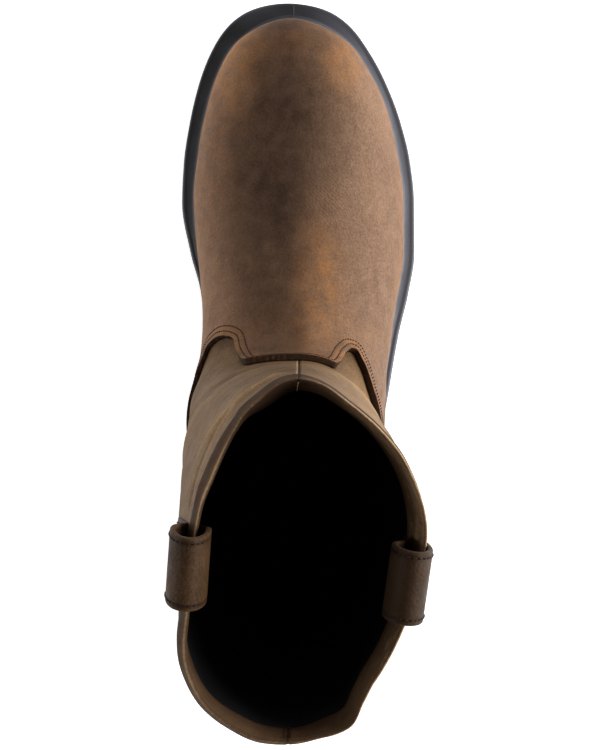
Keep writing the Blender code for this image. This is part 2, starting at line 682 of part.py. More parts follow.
def edge_lugs(zone, first_angle, last_angle):
    """Lugs round the edge of the tread, at an even pitch between two ray angles."""
    fine = np.linspace(first_angle, last_angle, 400)
    x, y = outline_point(fine, EDGE_LUG_INSET)
    run = np.concatenate(([0.0], np.cumsum(np.hypot(np.diff(x), np.diff(y)))))
    count = int(round(run[-1] / EDGE_LUG_PITCH))
    lugs = []
    for i in range(count):
        start = (i + 0.5 - 0.5 * EDGE_LUG_SHARE) / count * run[-1]
        stop = (i + 0.5 + 0.5 * EDGE_LUG_SHARE) / count * run[-1]
        angle = np.interp(np.linspace(start, stop, 3), run, fine)
        outer = outline_point(angle, EDGE_LUG_INSET)
        inner = outline_point(angle[[2, 0]], EDGE_LUG_INSET + zone.edge_length)
        lugs.append((np.concatenate((outer[0], inner[0])), np.concatenate((outer[1], inner[1]))))
    return lugs


def centre_lugs(zone):
    """Chevron lugs down the middle, pointing to the toe in the forefoot and back in the heel."""
    half, depth = zone.half_width, 0.5 * CENTRE_LUG_DEPTH
    sweep = zone.heading * CENTRE_LUG_SWEEP
    lugs = []
    for i in range(zone.count):
        middle_y = zone.first_y + i * zone.pitch
        middle_x = 0.5 * (sole_side("medial", middle_y) + sole_side("lateral", middle_y)) + CENTRE_LUG_SHIFT
        x = middle_x + np.array((-half, 0.0, half, half, 0.0, -half))
        y = middle_y + np.array((-depth, sweep - depth, -depth, depth, sweep + depth, depth))
        lugs.append((x, y))
    return lugs


def angle_at(y):
    """Ray angle that meets the lateral outline at a distance from the heel."""
    angle = np.radians(np.linspace(-89.0, 89.0, 720))
    return np.interp(y, outline_point(angle, EDGE_LUG_INSET)[1], angle)


def add_outsole(angle):
    """Tread: a plate with an arch and toe spring, a heel block, and the lugs under both."""
    loops = []
    for row in OUTSOLE_SIDE:
        x, y = outline_point(angle, row.inset)
        low = sole_level("plate", y)
        loops.append(loop_at(x, y, low + row.share * (sole_level("split", y) - low)))
    plate = add_block("outsole", loops, axis_line(angle, sunk("plate", 0.0)),
                      axis_line(angle, sunk("split", 0.0)), RUBBER_FINISH)

    breast = angle_at(HEEL_BREAST)
    heel_angle = np.linspace(breast, -np.pi - breast, 25)[::-1]
    top_x, top_y = outline_point(heel_angle, HEEL_INSET_TOP)
    base_x, base_y = outline_point(heel_angle, HEEL_INSET_BASE)
    top_z, base_z = np.full_like(top_x, HEEL_TOP), np.full_like(base_x, HEEL_BASE)
    count = len(heel_angle)
    points = np.concatenate((loop_at(base_x, base_y, base_z), loop_at(top_x, top_y, top_z)))
    faces = grid_quads(2, count).tolist()
    faces += [list(range(count))[::-1], list(range(count, 2 * count))]
    tools = [add_piece("heel_block", points, faces, RUBBER_FINISH)]

    def heel_root(at):
        return np.full_like(at, HEEL_BASE + LUG_ROOT)

    fore = angle_at(FOREFOOT_START)
    for x, y in edge_lugs(FOREFOOT_LUGS, fore, np.pi - fore) + centre_lugs(FOREFOOT_LUGS):
        tools.append(add_prism("lug", x, y, sunk("tread", 0.0), sunk("plate", LUG_ROOT), LUG_DRAFT))
    for x, y in edge_lugs(HEEL_LUGS, -np.pi - breast, breast) + centre_lugs(HEEL_LUGS):
        tools.append(add_prism("lug", x, y, sunk("tread", 0.0), heel_root, LUG_DRAFT))
    for tool in tools:
        join(plate, tool)


def join(piece, tool):
    """Union of a tool into a piece; the tool is then removed."""
    union = piece.modifiers.new("union", "BOOLEAN")
    union.operation = "UNION"
    union.solver = "EXACT"
    union.object = tool
    depsgraph = bpy.context.evaluated_depsgraph_get()
    joined = bpy.data.meshes.new_from_object(piece.evaluated_get(depsgraph))
    piece.modifiers.clear()
    piece.data = joined
    bpy.data.objects.remove(tool)


def collar_side(side, y, z):
    """Outer wall of the shaft on one side at a distance from the heel and a height."""
    start = np.full_like(y, AXIS_X)

    def outside(x, ray_y):
        return upper_field(x, ray_y, z) > 0.0

    return start + side * ray_length(outside, start, y, np.full_like(y, side), np.zeros_like(y), 90.0)


def loop_path():
    """Half width and height of the strap's middle line, from the outer leg over to the inner leg."""
    neck = 0.5 * WALL + STRAP_GAP + 0.5 * STRAP_LEATHER
    rise = np.linspace(LOOP_NECK, LOOP_WIDEST, 5)[:-1]
    swell = neck + (LOOP_HALF_WIDTH - neck) * smooth_step(LOOP_NECK, LOOP_WIDEST, rise)
    bow = np.radians(np.linspace(0.0, 180.0, 11))
    across = np.concatenate(([neck], swell, LOOP_HALF_WIDTH * np.cos(bow), -swell[::-1], [-neck]))
    height = np.concatenate(([OUTER_LEG], rise, LOOP_WIDEST + (LOOP_TOP - LOOP_WIDEST) * np.sin(bow),
                             rise[::-1], [INNER_LEG]))
    return across, height


def add_pull_loop(row):
    """Leather strap folded over the collar: its legs follow the wall, its bow is straight and raked back."""
    across, height = loop_path()
    tangent = np.stack((np.gradient(across), np.gradient(height)), axis=-1)
    tangent /= np.linalg.norm(tangent, axis=-1, keepdims=True)
    half = 0.5 * STRAP_LEATHER
    skins = []
    for sign in (1.0, -1.0):
        skins.append((across + sign * half * tangent[:, 1], height - sign * half * tangent[:, 0]))
    across = np.concatenate((skins[0][0], skins[1][0][::-1]))
    height = np.concatenate((skins[0][1], skins[1][1][::-1]))
    y = row.middle_y + STRAP_WIDTH * np.linspace(-0.5, 0.5, 5)
    station, section = np.broadcast_arrays(y[:, None], COLLAR_HEIGHT + np.minimum(height, 0.0)[None, :])
    wall = collar_side(row.side, station, section)
    slope = (collar_side(row.side, station + 1.0, section) - collar_side(row.side, station - 1.0, section)) / 2.0
    rigid = smooth_step(LOOP_NECK, LOOP_WIDEST, height)[None, :]
    straight = row.middle_x + 0.5 * row.side * WALL + row.lean * (station - row.middle_y)
    wall = wall + rigid * (straight - wall)
    slope = slope + rigid * (row.lean - slope)
    out = np.stack((np.full_like(slope, row.side), -row.side * slope), axis=-1)
    out /= np.linalg.norm(out, axis=-1, keepdims=True)
    reach = across[None, :] - 0.5 * WALL
    back = LOOP_RAKE * np.maximum(height, 0.0)[None, :]
    points = np.stack((wall + reach * out[..., 0], station + reach * out[..., 1] - back,
                       np.broadcast_to(COLLAR_HEIGHT + height, wall.shape)), axis=-1)
    rows, columns = wall.shape
    faces = grid_quads(rows, columns).tolist()
    faces += end_strip(0, columns, True) + end_strip((rows - 1) * columns, columns, False)
    if row.side > 0.0:
        faces = [face[::-1] for face in faces]
    add_piece(row.name, points.reshape(-1, 3), faces, STRAP_FINISH)


def end_strip(start, columns, flip):
    """Quads across the cut end of a strap, between its two skins."""
    faces = []
    for i in range(columns // 2 - 1):
        quad = [start + i, start + i + 1, start + columns - 2 - i, start + columns - 1 - i]
        faces.append(quad[::-1] if flip else quad)
    return faces


def main():
    for old in list(bpy.data.objects):
        bpy.data.objects.remove(old)
    angle = column_angles()
    add_outsole(angle)
    add_midsole(angle)
    add_insole(angle)
    add_upper_pieces(angle)
    for row in PULL_LOOPS:
        add_pull_loop(row)


main()
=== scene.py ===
"""Looks of a pull-on work boot: oiled leather upper, pull loops and a moulded rubber sole.

Sizes are millimetres in the boot's own measure, as in the part's source: y runs forward from the
heel end of the sole, x runs to the outer (lateral) side, z runs up from the floor. Meshes are
moved to the middle of the boot's box and written in metres.
"""

from collections import namedtuple

import bpy
import numpy as np
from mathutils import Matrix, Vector


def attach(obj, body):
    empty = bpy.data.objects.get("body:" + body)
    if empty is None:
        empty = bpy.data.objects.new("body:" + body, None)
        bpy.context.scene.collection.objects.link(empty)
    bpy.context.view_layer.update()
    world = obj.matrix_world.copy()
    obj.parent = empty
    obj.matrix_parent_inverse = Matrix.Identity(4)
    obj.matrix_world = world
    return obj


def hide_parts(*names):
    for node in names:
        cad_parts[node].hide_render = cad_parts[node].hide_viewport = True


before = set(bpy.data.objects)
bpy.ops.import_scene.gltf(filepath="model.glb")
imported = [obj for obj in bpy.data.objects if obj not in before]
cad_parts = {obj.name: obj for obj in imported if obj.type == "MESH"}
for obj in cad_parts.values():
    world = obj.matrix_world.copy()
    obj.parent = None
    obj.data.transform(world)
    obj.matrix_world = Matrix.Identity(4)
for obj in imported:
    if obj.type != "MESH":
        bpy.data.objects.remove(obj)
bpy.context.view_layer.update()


def table(names, *rows):
    """Short table with named columns: each name with its values down the rows."""
    return dict(zip(names.split(), np.array(rows, float).T))


def side_rows(*rows):
    """Table read round the boot: ray angle, -90 at the heel and 90 at the toe, and both sides' values."""
    return table("angle medial lateral", *rows)


MM = 0.001
CLEARANCE = 0.3
ORIGIN_X = -0.9
ORIGIN_Y = 151.5

# Driving sizes
SOLE_LENGTH = 311.5
COLLAR_HEIGHT = 285.0
WALL = 2.4
VAMP_LEATHER = 1.9
VAMP_LAYER = VAMP_LEATHER + CLEARANCE
LAST_HEEL = 7.2
LAST_TOE = 301.5
AXIS_X = -3.0
LEAST_SIZE = 0.01

# Sole outline, seen from above
SOLE_OUTLINE = table(
    "y medial lateral",
    (0.0, -3.0, -3.0),
    (4.0, -18.0, 12.0),
    (14.0, -31.6, 26.6),
    (30.0, -40.0, 34.6),
    (50.0, -43.0, 37.8),
    (75.0, -44.0, 38.8),
    (100.0, -45.0, 40.5),
    (125.0, -46.0, 44.5),
    (150.0, -47.4, 49.0),
    (170.0, -49.2, 53.8),
    (190.0, -54.4, 56.9),
    (215.0, -58.7, 56.8),
    (235.0, -57.8, 54.8),
    (255.0, -54.7, 49.9),
    (275.0, -49.5, 41.9),
    (290.0, -43.0, 33.2),
    (300.0, -36.0, 25.3),
    (307.0, -26.8, 15.6),
    (SOLE_LENGTH, -6.0, -6.0),
)

# Heights along the sole: tread is the ground line, plate the foot of the lugs,
# split the joint of outsole and midsole, ledge the top of the rim
SOLE_LEVELS = table(
    "y tread plate split ledge",
    (0.0, 2.5, 15.0, 25.0, 38.5),
    (14.0, 0.0, 15.0, 24.8, 38.3),
    (45.0, 0.0, 15.0, 24.2, 37.6),
    (90.0, 0.0, 14.6, 22.8, 34.0),
    (120.0, 0.0, 12.0, 20.0, 30.0),
    (150.0, 0.0, 7.0, 16.6, 26.8),
    (180.0, 0.0, 5.2, 14.4, 24.8),
    (215.0, 0.0, 5.0, 13.8, 24.2),
    (240.0, 0.0, 5.1, 14.4, 24.9),
    (265.0, 2.2, 7.3, 16.8, 27.4),
    (290.0, 7.0, 12.1, 21.4, 32.0),
    (SOLE_LENGTH, 12.5, 17.6, 26.4, 36.6),
)

# Cross sections of the last with the vamp on it: widest points and how high they lie over the
# feather line, how far the wall tucks in below them, and the ridge with the roundness over it
LAST_SECTIONS = table(
    "y medial lateral widest_rise medial_tuck lateral_tuck ridge_x ridge_z roundness",
    (LAST_HEEL, -3.0, -3.0, 16.0, 0.0, 0.0, -3.0, 56.0, 2.2),
    (11.0, -17.6, 12.1, 16.0, 1.2, 1.2, -3.0, 78.0, 2.2),
    (22.0, -29.3, 23.8, 17.0, 2.2, 2.2, -3.0, 92.0, 2.2),
    (42.0, -37.0, 31.0, 20.0, 3.4, 3.0, -3.0, 104.0, 2.2),
    (70.0, -43.0, 34.0, 32.0, 6.8, 3.6, -3.5, 114.0, 2.2),
    (95.0, -48.6, 36.5, 42.0, 11.8, 3.8, -4.0, 121.0, 2.2),
    (115.0, -50.7, 39.2, 44.0, 13.4, 3.6, -4.5, 124.0, 2.3),
    (128.0, -49.4, 40.6, 40.0, 12.2, 3.0, -4.5, 122.5, 2.35),
    (140.0, -47.2, 42.4, 34.0, 9.6, 2.6, -4.5, 118.0, 2.35),
    (152.0, -46.6, 44.2, 28.0, 8.2, 2.6, -4.5, 112.5, 2.3),
    (165.0, -47.1, 46.4, 22.0, 6.6, 2.8, -4.5, 107.0, 2.3),
    (190.0, -49.8, 50.2, 15.0, 3.2, 3.0, -4.5, 98.0, 2.3),
    (215.0, -51.5, 50.2, 12.0, 3.0, 3.0, -4.5, 90.5, 2.35),
    (240.0, -49.0, 46.8, 12.0, 2.8, 2.8, -4.5, 85.0, 2.4),
    (260.0, -45.0, 41.6, 12.0, 2.6, 2.6, -5.0, 81.0, 2.45),
    (277.0, -39.0, 33.3, 12.0, 2.2, 2.2, -5.0, 76.0, 2.5),
    (288.0, -32.6, 25.5, 12.0, 1.8, 1.8, -5.0, 70.0, 2.5),
    (296.0, -22.5, 14.5, 12.0, 1.0, 1.0, -5.0, 61.5, 2.4),
    (LAST_TOE, -5.0, -5.0, 12.0, 0.0, 0.0, -5.0, 48.0, 2.3),
)

# Level sections of the shaft: ends on the seams, widest points and how far forward they lie,
# and the roundness of the four quarters (below 2 is pointed, above 2 is full)
SHAFT_SECTIONS = table(
    "z front back left right left_y right_y front_left back_left front_right back_right",
    (45.0, 100.0, 16.0, -30.0, 27.0, 62.0, 58.0, 2.2, 2.2, 2.2, 2.2),
    (80.0, 126.0, 8.5, -48.0, 35.5, 96.0, 72.0, 2.6, 2.2, 2.4, 2.2),
    (112.0, 135.5, 8.0, -50.0, 37.5, 98.0, 74.0, 2.8, 2.2, 2.2, 2.2),
    (150.0, 135.5, 6.0, -50.5, 39.5, 90.0, 72.0, 2.5, 2.2, 2.2, 2.2),
    (200.0, 134.0, 1.0, -49.5, 42.5, 70.0, 69.0, 2.2, 2.2, 2.1, 2.1),
    (250.0, 131.5, -5.0, -47.8, 45.6, 46.0, 69.0, 1.8, 2.1, 1.85, 1.95),
    (COLLAR_HEIGHT, 129.5, -8.5, -46.0, 47.4, 30.5, 68.5, 1.55, 2.0, 1.7, 1.82),
)
FRONT_SEAM_X = -1.2
BACK_SEAM_X = -4.5

# Fillet of foot and shaft, and the stretches along the boot over which it changes
ANKLE_BLEND = 12.0
THROAT_BLEND = 20.0
THROAT_STRETCH = (90.0, 135.0)
HEEL_BLEND = 0.1
HEEL_STRETCH = (12.0, 50.0)

# Rings up the upper: share of the way, height at the heel end, and the ring's front point
RINGS = table(
    "share heel_z front_y front_z",
    (0.00, 40.0, 300.0, 42.0),
    (0.10, 44.0, 300.0, 54.0),
    (0.20, 49.0, 292.0, 66.0),
    (0.30, 54.5, 268.0, 78.0),
    (0.40, 60.5, 233.0, 86.0),
    (0.50, 67.0, 192.0, 97.0),
    (0.60, 75.0, 152.0, 114.0),
    (0.66, 82.0, 138.0, 124.0),
    (0.72, 98.0, 136.0, 146.0),
    (0.80, 148.0, 134.5, 188.0),
    (0.90, 218.0, 131.5, 240.0),
    (1.00, COLLAR_HEIGHT, 129.5, COLLAR_HEIGHT),
)
FEATHER_DROP = 1.7
RING_BLEND = 0.28
LEVEL_NORMALS = 0.1
AXIS_START_Y = 70.0
AXIS_BACK_REACH = 36.0
AXIS_FRONT_REACH = 46.0
AXIS_RINGS = 81

# How far rays look for a wall, how often they halve, and the step that a normal is measured over
FRONT_RAY = 260.0
BACK_RAY = 120.0
UPPER_RAY = 150.0
OUTLINE_RAY = 200.0
COLLAR_RAY = 90.0
HALVINGS = 28
NORMAL_STEP = 0.004

# Upper edge of the vamp: the share of the way up
VAMP_EDGE = side_rows(
    (-90.0, 0.620, 0.620),
    (-60.0, 0.610, 0.610),
    (-40.0, 0.560, 0.565),
    (-20.0, 0.510, 0.530),
    (0.0, 0.455, 0.540),
    (15.0, 0.455, 0.570),
    (25.0, 0.475, 0.600),
    (36.0, 0.512, 0.630),
    (45.0, 0.537, 0.637),
    (50.0, 0.551, 0.627),
    (55.0, 0.567, 0.612),
    (58.0, 0.580, 0.602),
    (60.0, 0.600, 0.606),
    (61.5, 0.632, 0.612),
    (63.0, 0.662, 0.625),
    (64.5, 0.690, 0.640),
    (66.0, 0.700, 0.675),
    (67.5, 0.702, 0.700),
    (90.0, 0.702, 0.702),
)

# Slight wave of the soft collar, out from the even section, by bearing from the shaft's middle
COLLAR_WAVE = side_rows(
    (-90.0, 0.0, 0.0),
    (-78.0, -0.2, 0.9),
    (-69.0, -0.5, 2.1),
    (-61.0, 0.0, -0.6),
    (-53.0, 0.4, -2.0),
    (-37.0, 0.2, -2.1),
    (0.0, 0.5, -0.9),
    (28.0, 2.0, 0.8),
    (45.0, 3.2, 0.7),
    (58.0, 3.2, -0.4),
    (71.0, 2.4, -1.4),
    (81.0, 0.2, -0.5),
    (90.0, 0.0, 0.0),
)
WAVE_START = 170.0
SHAFT_MIDDLE_Y = 55.5
SHAFT_FRONT_Y = 70.0
SHAFT_BACK_Y = 20.0

# Columns of the fine surfaces: share of half the way round from heel to toe, and the ray's angle
FINE_COLUMNS = table(
    "share angle",
    (0.00, -90.0),
    (0.03, -86.5),
    (0.20, -45.0),
    (0.42, 20.0),
    (0.56, 55.0),
    (0.80, 68.5),
    (0.92, 84.0),
    (1.00, 90.0),
)
FINE_PER_SIDE = 240

# Gentle unevenness: how much, the waves' length, and the seed of their directions
Waves = namedtuple("Waves", "amount length seed")
WAVE_COUNT = 6

# Vamp leather: its rows, the ridge that is eased, and the swell and stitches by its cut edge
VAMP_ROWS = 92
VAMP_UNDER_ROWS = 20
EDGE_CROWDING = 1.7
EDGE_SAMPLES = 2400
RIDGE_REACH = 0.22
RIDGE_PASSES = 240
EDGE_SWELL = 1.1
SIDE_SWELL = 0.15
SWELL_RISE = (0.35, 0.75)
SWELL_REACH = 6.0
VAMP_UNEVEN = Waves(0.12, 34.0, 4)
VAMP_STITCH_ROWS = (2.2, 5.0)
STITCH_DENT = 0.16
STITCH_DENT_WIDTH = 0.55
LEVEL_FOOT = 0.06
CUT_RAGGED = Waves(0.12, 3.0, 6)
# Cut edge: share of the leather's thickness left, and how far the edge bulges
CUT_EDGE = ((0.95, 0.10), (0.75, 0.26), (0.5, 0.34), (0.25, 0.38), (0.05, 0.40))

# Soft patches of tone painted on the leather: middle, reach, and how much lighter or warmer
Patch = namedtuple("Patch", "x y reach_x reach_y lighter warmer")
# On the vamp, part of these patches are painted highlight, among them the warm golden ones on the lateral toe
# and instep where the right softbox falls; the others lighten or darken the leather's tone
VAMP_TONE_AND_HIGHLIGHT_PATCHES = (
    Patch(-10.0, 258.0, 20.0, 18.0, -0.01, 0.00),
    Patch(-2.0, 282.0, 22.0, 9.0, 0.05, 0.05),
    Patch(-10.0, 190.0, 18.0, 26.0, 0.02, 0.00),
    Patch(21.0, 277.0, 9.0, 13.0, 0.05, 0.42),
    Patch(9.0, 172.0, 10.0, 26.0, 0.13, 0.42),
    Patch(10.0, 150.0, 14.0, 12.0, 0.08, 0.05),
    Patch(42.0, 220.0, 18.0, 70.0, 0.03, 0.00),
    Patch(26.0, 192.0, 20.0, 60.0, 0.08, 0.00),
    Patch(34.0, 256.0, 13.0, 22.0, 0.10, 0.00),
    Patch(-42.0, 220.0, 12.0, 60.0, 0.07, 0.15),
    Patch(-31.0, 276.0, 11.0, 22.0, 0.24, 0.36),
    Patch(-4.0, 294.0, 34.0, 9.0, -0.01, 0.25),
    Patch(-30.0, 160.0, 22.0, 24.0, 0.12, 0.06),
    Patch(-4.0, 145.0, 40.0, 10.0, 0.04, 0.12),
    Patch(34.0, 150.0, 16.0, 20.0, -0.05, 0.00),
    Patch(-24.0, 292.0, 10.0, 8.0, 0.05, 0.08),
)
SHAFT_PATCHES = (
    Patch(30.0, 118.0, 18.0, 22.0, 0.16, 0.0),
    Patch(-34.0, 118.0, 20.0, 22.0, 0.06, 0.0),
    Patch(-40.0, 94.0, 18.0, 26.0, 0.07, 0.0),
)

# Vamp colour: a dark band down the up-facing top, partly darker leather and partly painted shade; painted
# golden highlight on the upright sides and painted shade on the lateral one; a painted highlight low by the
# sole; frayed and dark cut edge; flexed ball
VAMP_TONE = 0.44
# Painted shade: a darker band on the up-facing top, left of the middle, on partly darker leather
TOP_DARK_AND_SHADE_X = -10.0
TOP_DARK_AND_SHADE_WIDTH = 25.0
TOP_DARK_AND_SHADE_DEPTH = 0.30
TOP_DARK_AND_SHADE_SLOPE = (-0.2, 0.5)
# Painted golden highlight on the upright sides, and painted shade on the lateral one
SIDE_GOLD_HIGHLIGHT = 0.45
SIDE_SLOPE = (0.0, 0.45)
SIDE_STRETCH = (120.0, 190.0)
LATERAL_SHADE = 0.12
LATERAL_SPAN = (0.0, 30.0)
# Painted highlight: a lighter, warmer band low on the vamp just above the sole
LOW_HIGHLIGHT_RISE = 7.5
LOW_HIGHLIGHT_WIDTH = 6.0
LOW_HIGHLIGHT_TONE = 0.18
LOW_HIGHLIGHT_WARM = 0.30
FRAYED = Waves(0.5, 4.5, 22)
FRAYED_REACH = 4.0
FRAYED_WARM = 0.40
EDGE_DARK = 0.10
EDGE_DARK_REACH = 1.2
CUT_TONE = -0.05
CUT_WARM = 0.06
CUT_MOTTLE = Waves(0.10, 2.6, 14)
FLEX_X = 17.0
FLEX_Y = 212.0
FLEX_REACH_X = 12.0
FLEX_REACH_Y = 14.0

# Stitches: pitch along the row, length, and the thread's radius
Stitch = namedtuple("Stitch", "pitch length radius")
VAMP_STITCH = Stitch(1.55, 1.1, 0.3)
SEAM_STITCH = Stitch(2.05, 1.5, 0.3)
STRAP_STITCH = Stitch(2.3, 1.7, 0.34)
# A stitch is a capsule: places along its half length, and the width there; its ends dip into the leather
CAPSULE_PLACES = np.array((-1.0, -0.86, -0.4, 0.4, 0.86, 1.0))
CAPSULE_WIDTHS = np.array((0.25, 0.75, 1.0, 1.0, 0.75, 0.25))
CAPSULE_SIDES = 6
CAPSULE_RISE = 0.45
CAPSULE_DIP = 0.9
HEADING_SHARE = 0.3

# Shaft leather: rows hidden under the vamp and shown above it, how they lie, and its tone
SHAFT_HIDDEN_ROWS = 24
SHAFT_ROWS = 100
SHAFT_INNER_ROWS = 40
SHAFT_INNER_TOP = 14
SHAFT_UNDER_VAMP = 0.05
UNDER_VAMP_DROP = 0.8
UNDER_VAMP_EASE = 0.02
FREE_EASE = 0.03
STIFF_START = 0.96
STIFF_SHARE = 0.75
SHAFT_SAG = Waves(0.22, 42.0, 9)
SHAFT_RIPPLE = Waves(0.10, 17.0, 3)
SHAFT_TONE = 0.42
SHAFT_CLOUDS = Waves(0.06, 60.0, 12)

# Lines across the shaft leather: side, how high they stand, half width, how much lighter or darker they are
# painted (ridges lighter as wear and painted highlight, creases darker as painted shade), and the ray angles
# and shares of the way up that they pass through
Fold = namedtuple("Fold", "side height width rubbed angles shares")
SHAFT_FOLDS = (
    Fold(-1.0, 0.9, 3.8, 0.16, (87, 79, 68, 57, 47, 42, 35, 29),
         (0.972, 0.959, 0.958, 0.948, 0.930, 0.928, 0.927, 0.932)),
    Fold(-1.0, 0.8, 1.9, 0.16, (90, 84, 76, 68, 60, 50, 42),
         (0.972, 0.966, 0.962, 0.960, 0.958, 0.957, 0.957)),
    Fold(-1.0, -1.2, 1.9, -0.24, (62, 54, 42, 36, 30, 21, 14),
         (0.944, 0.945, 0.948, 0.951, 0.957, 0.962, 0.966)),
    Fold(1.0, -0.35, 0.9, -0.12, (60, 66, 71), (0.842, 0.850, 0.856)),
    Fold(1.0, -0.30, 0.8, -0.10, (61, 66, 70), (0.866, 0.872, 0.882)),
    Fold(1.0, 0.30, 1.0, 0.10, (62, 67, 71), (0.884, 0.892, 0.902)),
    Fold(-1.0, -0.9, 5.0, -0.10, (80, 60, 40, 20, 0), (0.790, 0.770, 0.745, 0.730, 0.730)),
    Fold(1.0, -0.9, 5.0, -0.10, (80, 60, 40, 20, 0), (0.785, 0.765, 0.745, 0.735, 0.735)),
    Fold(-1.0, 0.7, 6.0, 0.10, (75, 55, 35, 15), (0.825, 0.805, 0.785, 0.780)),
    Fold(1.0, 0.7, 6.0, 0.10, (75, 55, 35, 15), (0.820, 0.800, 0.785, 0.780)),
)
FOLD_SAMPLES = 160
FOLD_FADE_IN = 0.1
FOLD_FADE_OUT = 0.2

# Shaft seams: place of the groove, whether it is the front one, and its stitch rows sideways from it
Seam = namedtuple("Seam", "x front stitch_rows")
FRONT_SEAM = Seam(-0.4, True, (-0.35,))
BACK_SEAM = Seam(BACK_SEAM_X, False, (-1.2, 1.2))
SEAM_DEPTH = 0.7
SEAM_WIDTH = 0.45
SEAM_DARK = 0.45
# Painted highlight: a lighter strip along one edge of the front seam's groove
SEAM_EDGE_IN = 0.75
SEAM_EDGE_WIDTH = 0.35
SEAM_EDGE_HIGHLIGHT = 0.40
RIM_SEAM_SHARE = 0.35
RIM_SEAM_DARK = 0.3

# Collar binding: share of the way from the shaft skin's top row to the collar, how far in, its tone, lighter
# at the lower edge as painted highlight and on the crest as painted highlight and edge wear, and how much it
# takes of the painted light and shade inside the crest and of the crest's painted highlight
BINDING_START = 0.987
CREST_INWARD = 2.55
COLLAR_BINDING = table(
    "share inward tone shaded crest",
    (0.00, -0.22, 0.66, 0.0, 0.0),
    (0.05, -0.34, 0.56, 0.0, 0.0),
    (0.14, -0.30, 0.46, 0.0, 0.0),
    (0.30, -0.02, 0.43, 0.0, 0.0),
    (0.50, 0.42, 0.43, 0.0, 0.0),
    (0.70, 1.00, 0.45, 0.0, 0.2),
    (0.84, 1.48, 0.49, 0.0, 0.7),
    (0.93, 1.85, 0.60, 0.1, 1.0),
    (0.98, 2.20, 0.74, 0.2, 1.0),
    (1.00, CREST_INWARD, 0.72, 0.3, 1.0),
    (0.99, 3.05, 0.57, 0.8, 0.5),
    (0.95, 3.42, 0.52, 1.0, 0.0),
)
# Facing inside the collar: share of its depth, how far in from the outer skin, its tone, darker deeper inside
# as painted shade with a lighter line near its foot, and how much it takes of the painted light and shade
# round the rim
COLLAR_FACING = table(
    "depth inward tone shaded",
    (0.06, 3.58, 0.58, 1.0),
    (0.15, 3.62, 0.56, 1.0),
    (0.35, 3.58, 0.56, 1.0),
    (0.60, 3.48, 0.52, 1.0),
    (0.80, 3.38, 0.48, 1.0),
    (0.96, 3.26, 0.44, 1.0),
    (0.985, 3.06, 0.62, 1.0),
    (1.00, 2.50, 0.10, 0.0),
)
# How much of the binding's lean the collar shows
CREST_LEAN = side_rows(
    (-90, 1.00, 1.00), (-78, 1.00, 0.55), (-66, 1.00, -0.10), (-45, 1.15, -0.15),
    (-30, 1.20, -0.12), (-10, 0.85, -0.05), (20, 0.52, 0.02), (33, 0.92, 0.05),
    (45, 0.85, 0.05), (60, 0.55, 0.05), (72, 0.58, 0.12), (90, 0.50, 0.50),
)
# How far the collar's leather flares out, from a share of the way up
FLARE_START = 0.88
COLLAR_FLARE = side_rows(
    (-90, 1.55, 1.55), (-80, 1.90, 0.90), (-68, 2.40, 0.00), (-57, 2.20, 0.00),
    (-45, 1.70, 0.00), (-33, 0.90, 0.00), (-27, 0.60, 0.00), (-21, -0.20, 0.00),
    (-12, -1.10, 0.00), (0, 0.00, 0.00), (55, 0.00, 0.00), (73, 1.70, 0.00),
    (82, 1.20, 0.00), (90, 0.00, 0.00),
)
# Painted highlight on the crest, strongest on the lateral side that faces the right softbox, and painted
# light and shade on the rim inside it: lighter on the lateral side, darker toward the toe and at the medial
# front
CREST_HIGHLIGHT = side_rows(
    (-90, 0.00, 0.00), (-60, 0.02, 0.16), (-30, 0.10, 0.24),
    (30, 0.18, 0.26), (65, 0.08, 0.14), (90, 0.00, 0.00),
)
RIM_LIGHT_AND_SHADE = side_rows(
    (-90, -0.08, -0.08), (-60, 0.04, 0.05), (-30, 0.02, 0.14), (20, -0.08, 0.20),
    (50, -0.30, 0.20), (70, -0.40, 0.10), (90, -0.36, -0.36),
)
# Share of the boot where the facing ends, and how far it stands off the wall there
FACING_FOOT = side_rows(
    (-90, 0.982, 0.982), (-50, 0.982, 0.962), (-20, 0.974, 0.938), (20, 0.966, 0.912),
    (40, 0.962, 0.906), (70, 0.960, 0.930), (90, 0.958, 0.958),
)
FACING_SLACK = side_rows(
    (-90, 0.0, 0.0), (0, 0.0, 0.0), (20, 0.0, 0.6), (35, 0.6, 2.4),
    (50, 1.8, 3.2), (65, 3.4, 3.4), (90, 4.0, 4.0),
)

# Lining: the shaft wall's inner side, its own thickness, how it meets the facing, and its sag
SHELL_INNER = 1.5
LINING_SKIN = 0.8
LINING_OVERLAP = 0.003
LINING_ROWS = 60
LINING_SAG = Waves(0.25, 38.0, 21)
LINING_EASE = 0.1

# Pull loops: middle of each bow, how far it runs sideways for each unit forward, how far the bow sits
# back from its legs, how far it leans back for each millimetre up, and its tone
PullLoop = namedtuple("PullLoop", "name node side middle_x middle_y lean setback rake tone")
PULL_LOOPS = (
    PullLoop("strap_medial", "pull_loop_medial", -1.0, -41.5, 61.3, 0.07, 1.5, 0.20, 0.46),
    PullLoop("strap_lateral", "pull_loop_lateral", 1.0, 39.9, 55.6, 0.145, 2.8, 0.10, 0.29),
)
STRAP_WIDTH = 27.0
STRAP_LEATHER = 2.2
LEG_LEATHER = 1.0
LEG_SETBACK = 0.8
LOOP_HALF_WIDTH = 6.7
LOOP_WIDEST = 3.0
LOOP_TOP = 16.0
LOOP_NECK = -14.0
OUTER_LEG = -45.0
INNER_LEG = -32.0
OUTER_NECK_IN = 0.1
INNER_NECK_OUT = 2.0
OUTER_LEG_POINTS = 10
NECK_POINTS = 16
BOW_POINTS = 41
INNER_LEG_POINTS = 8
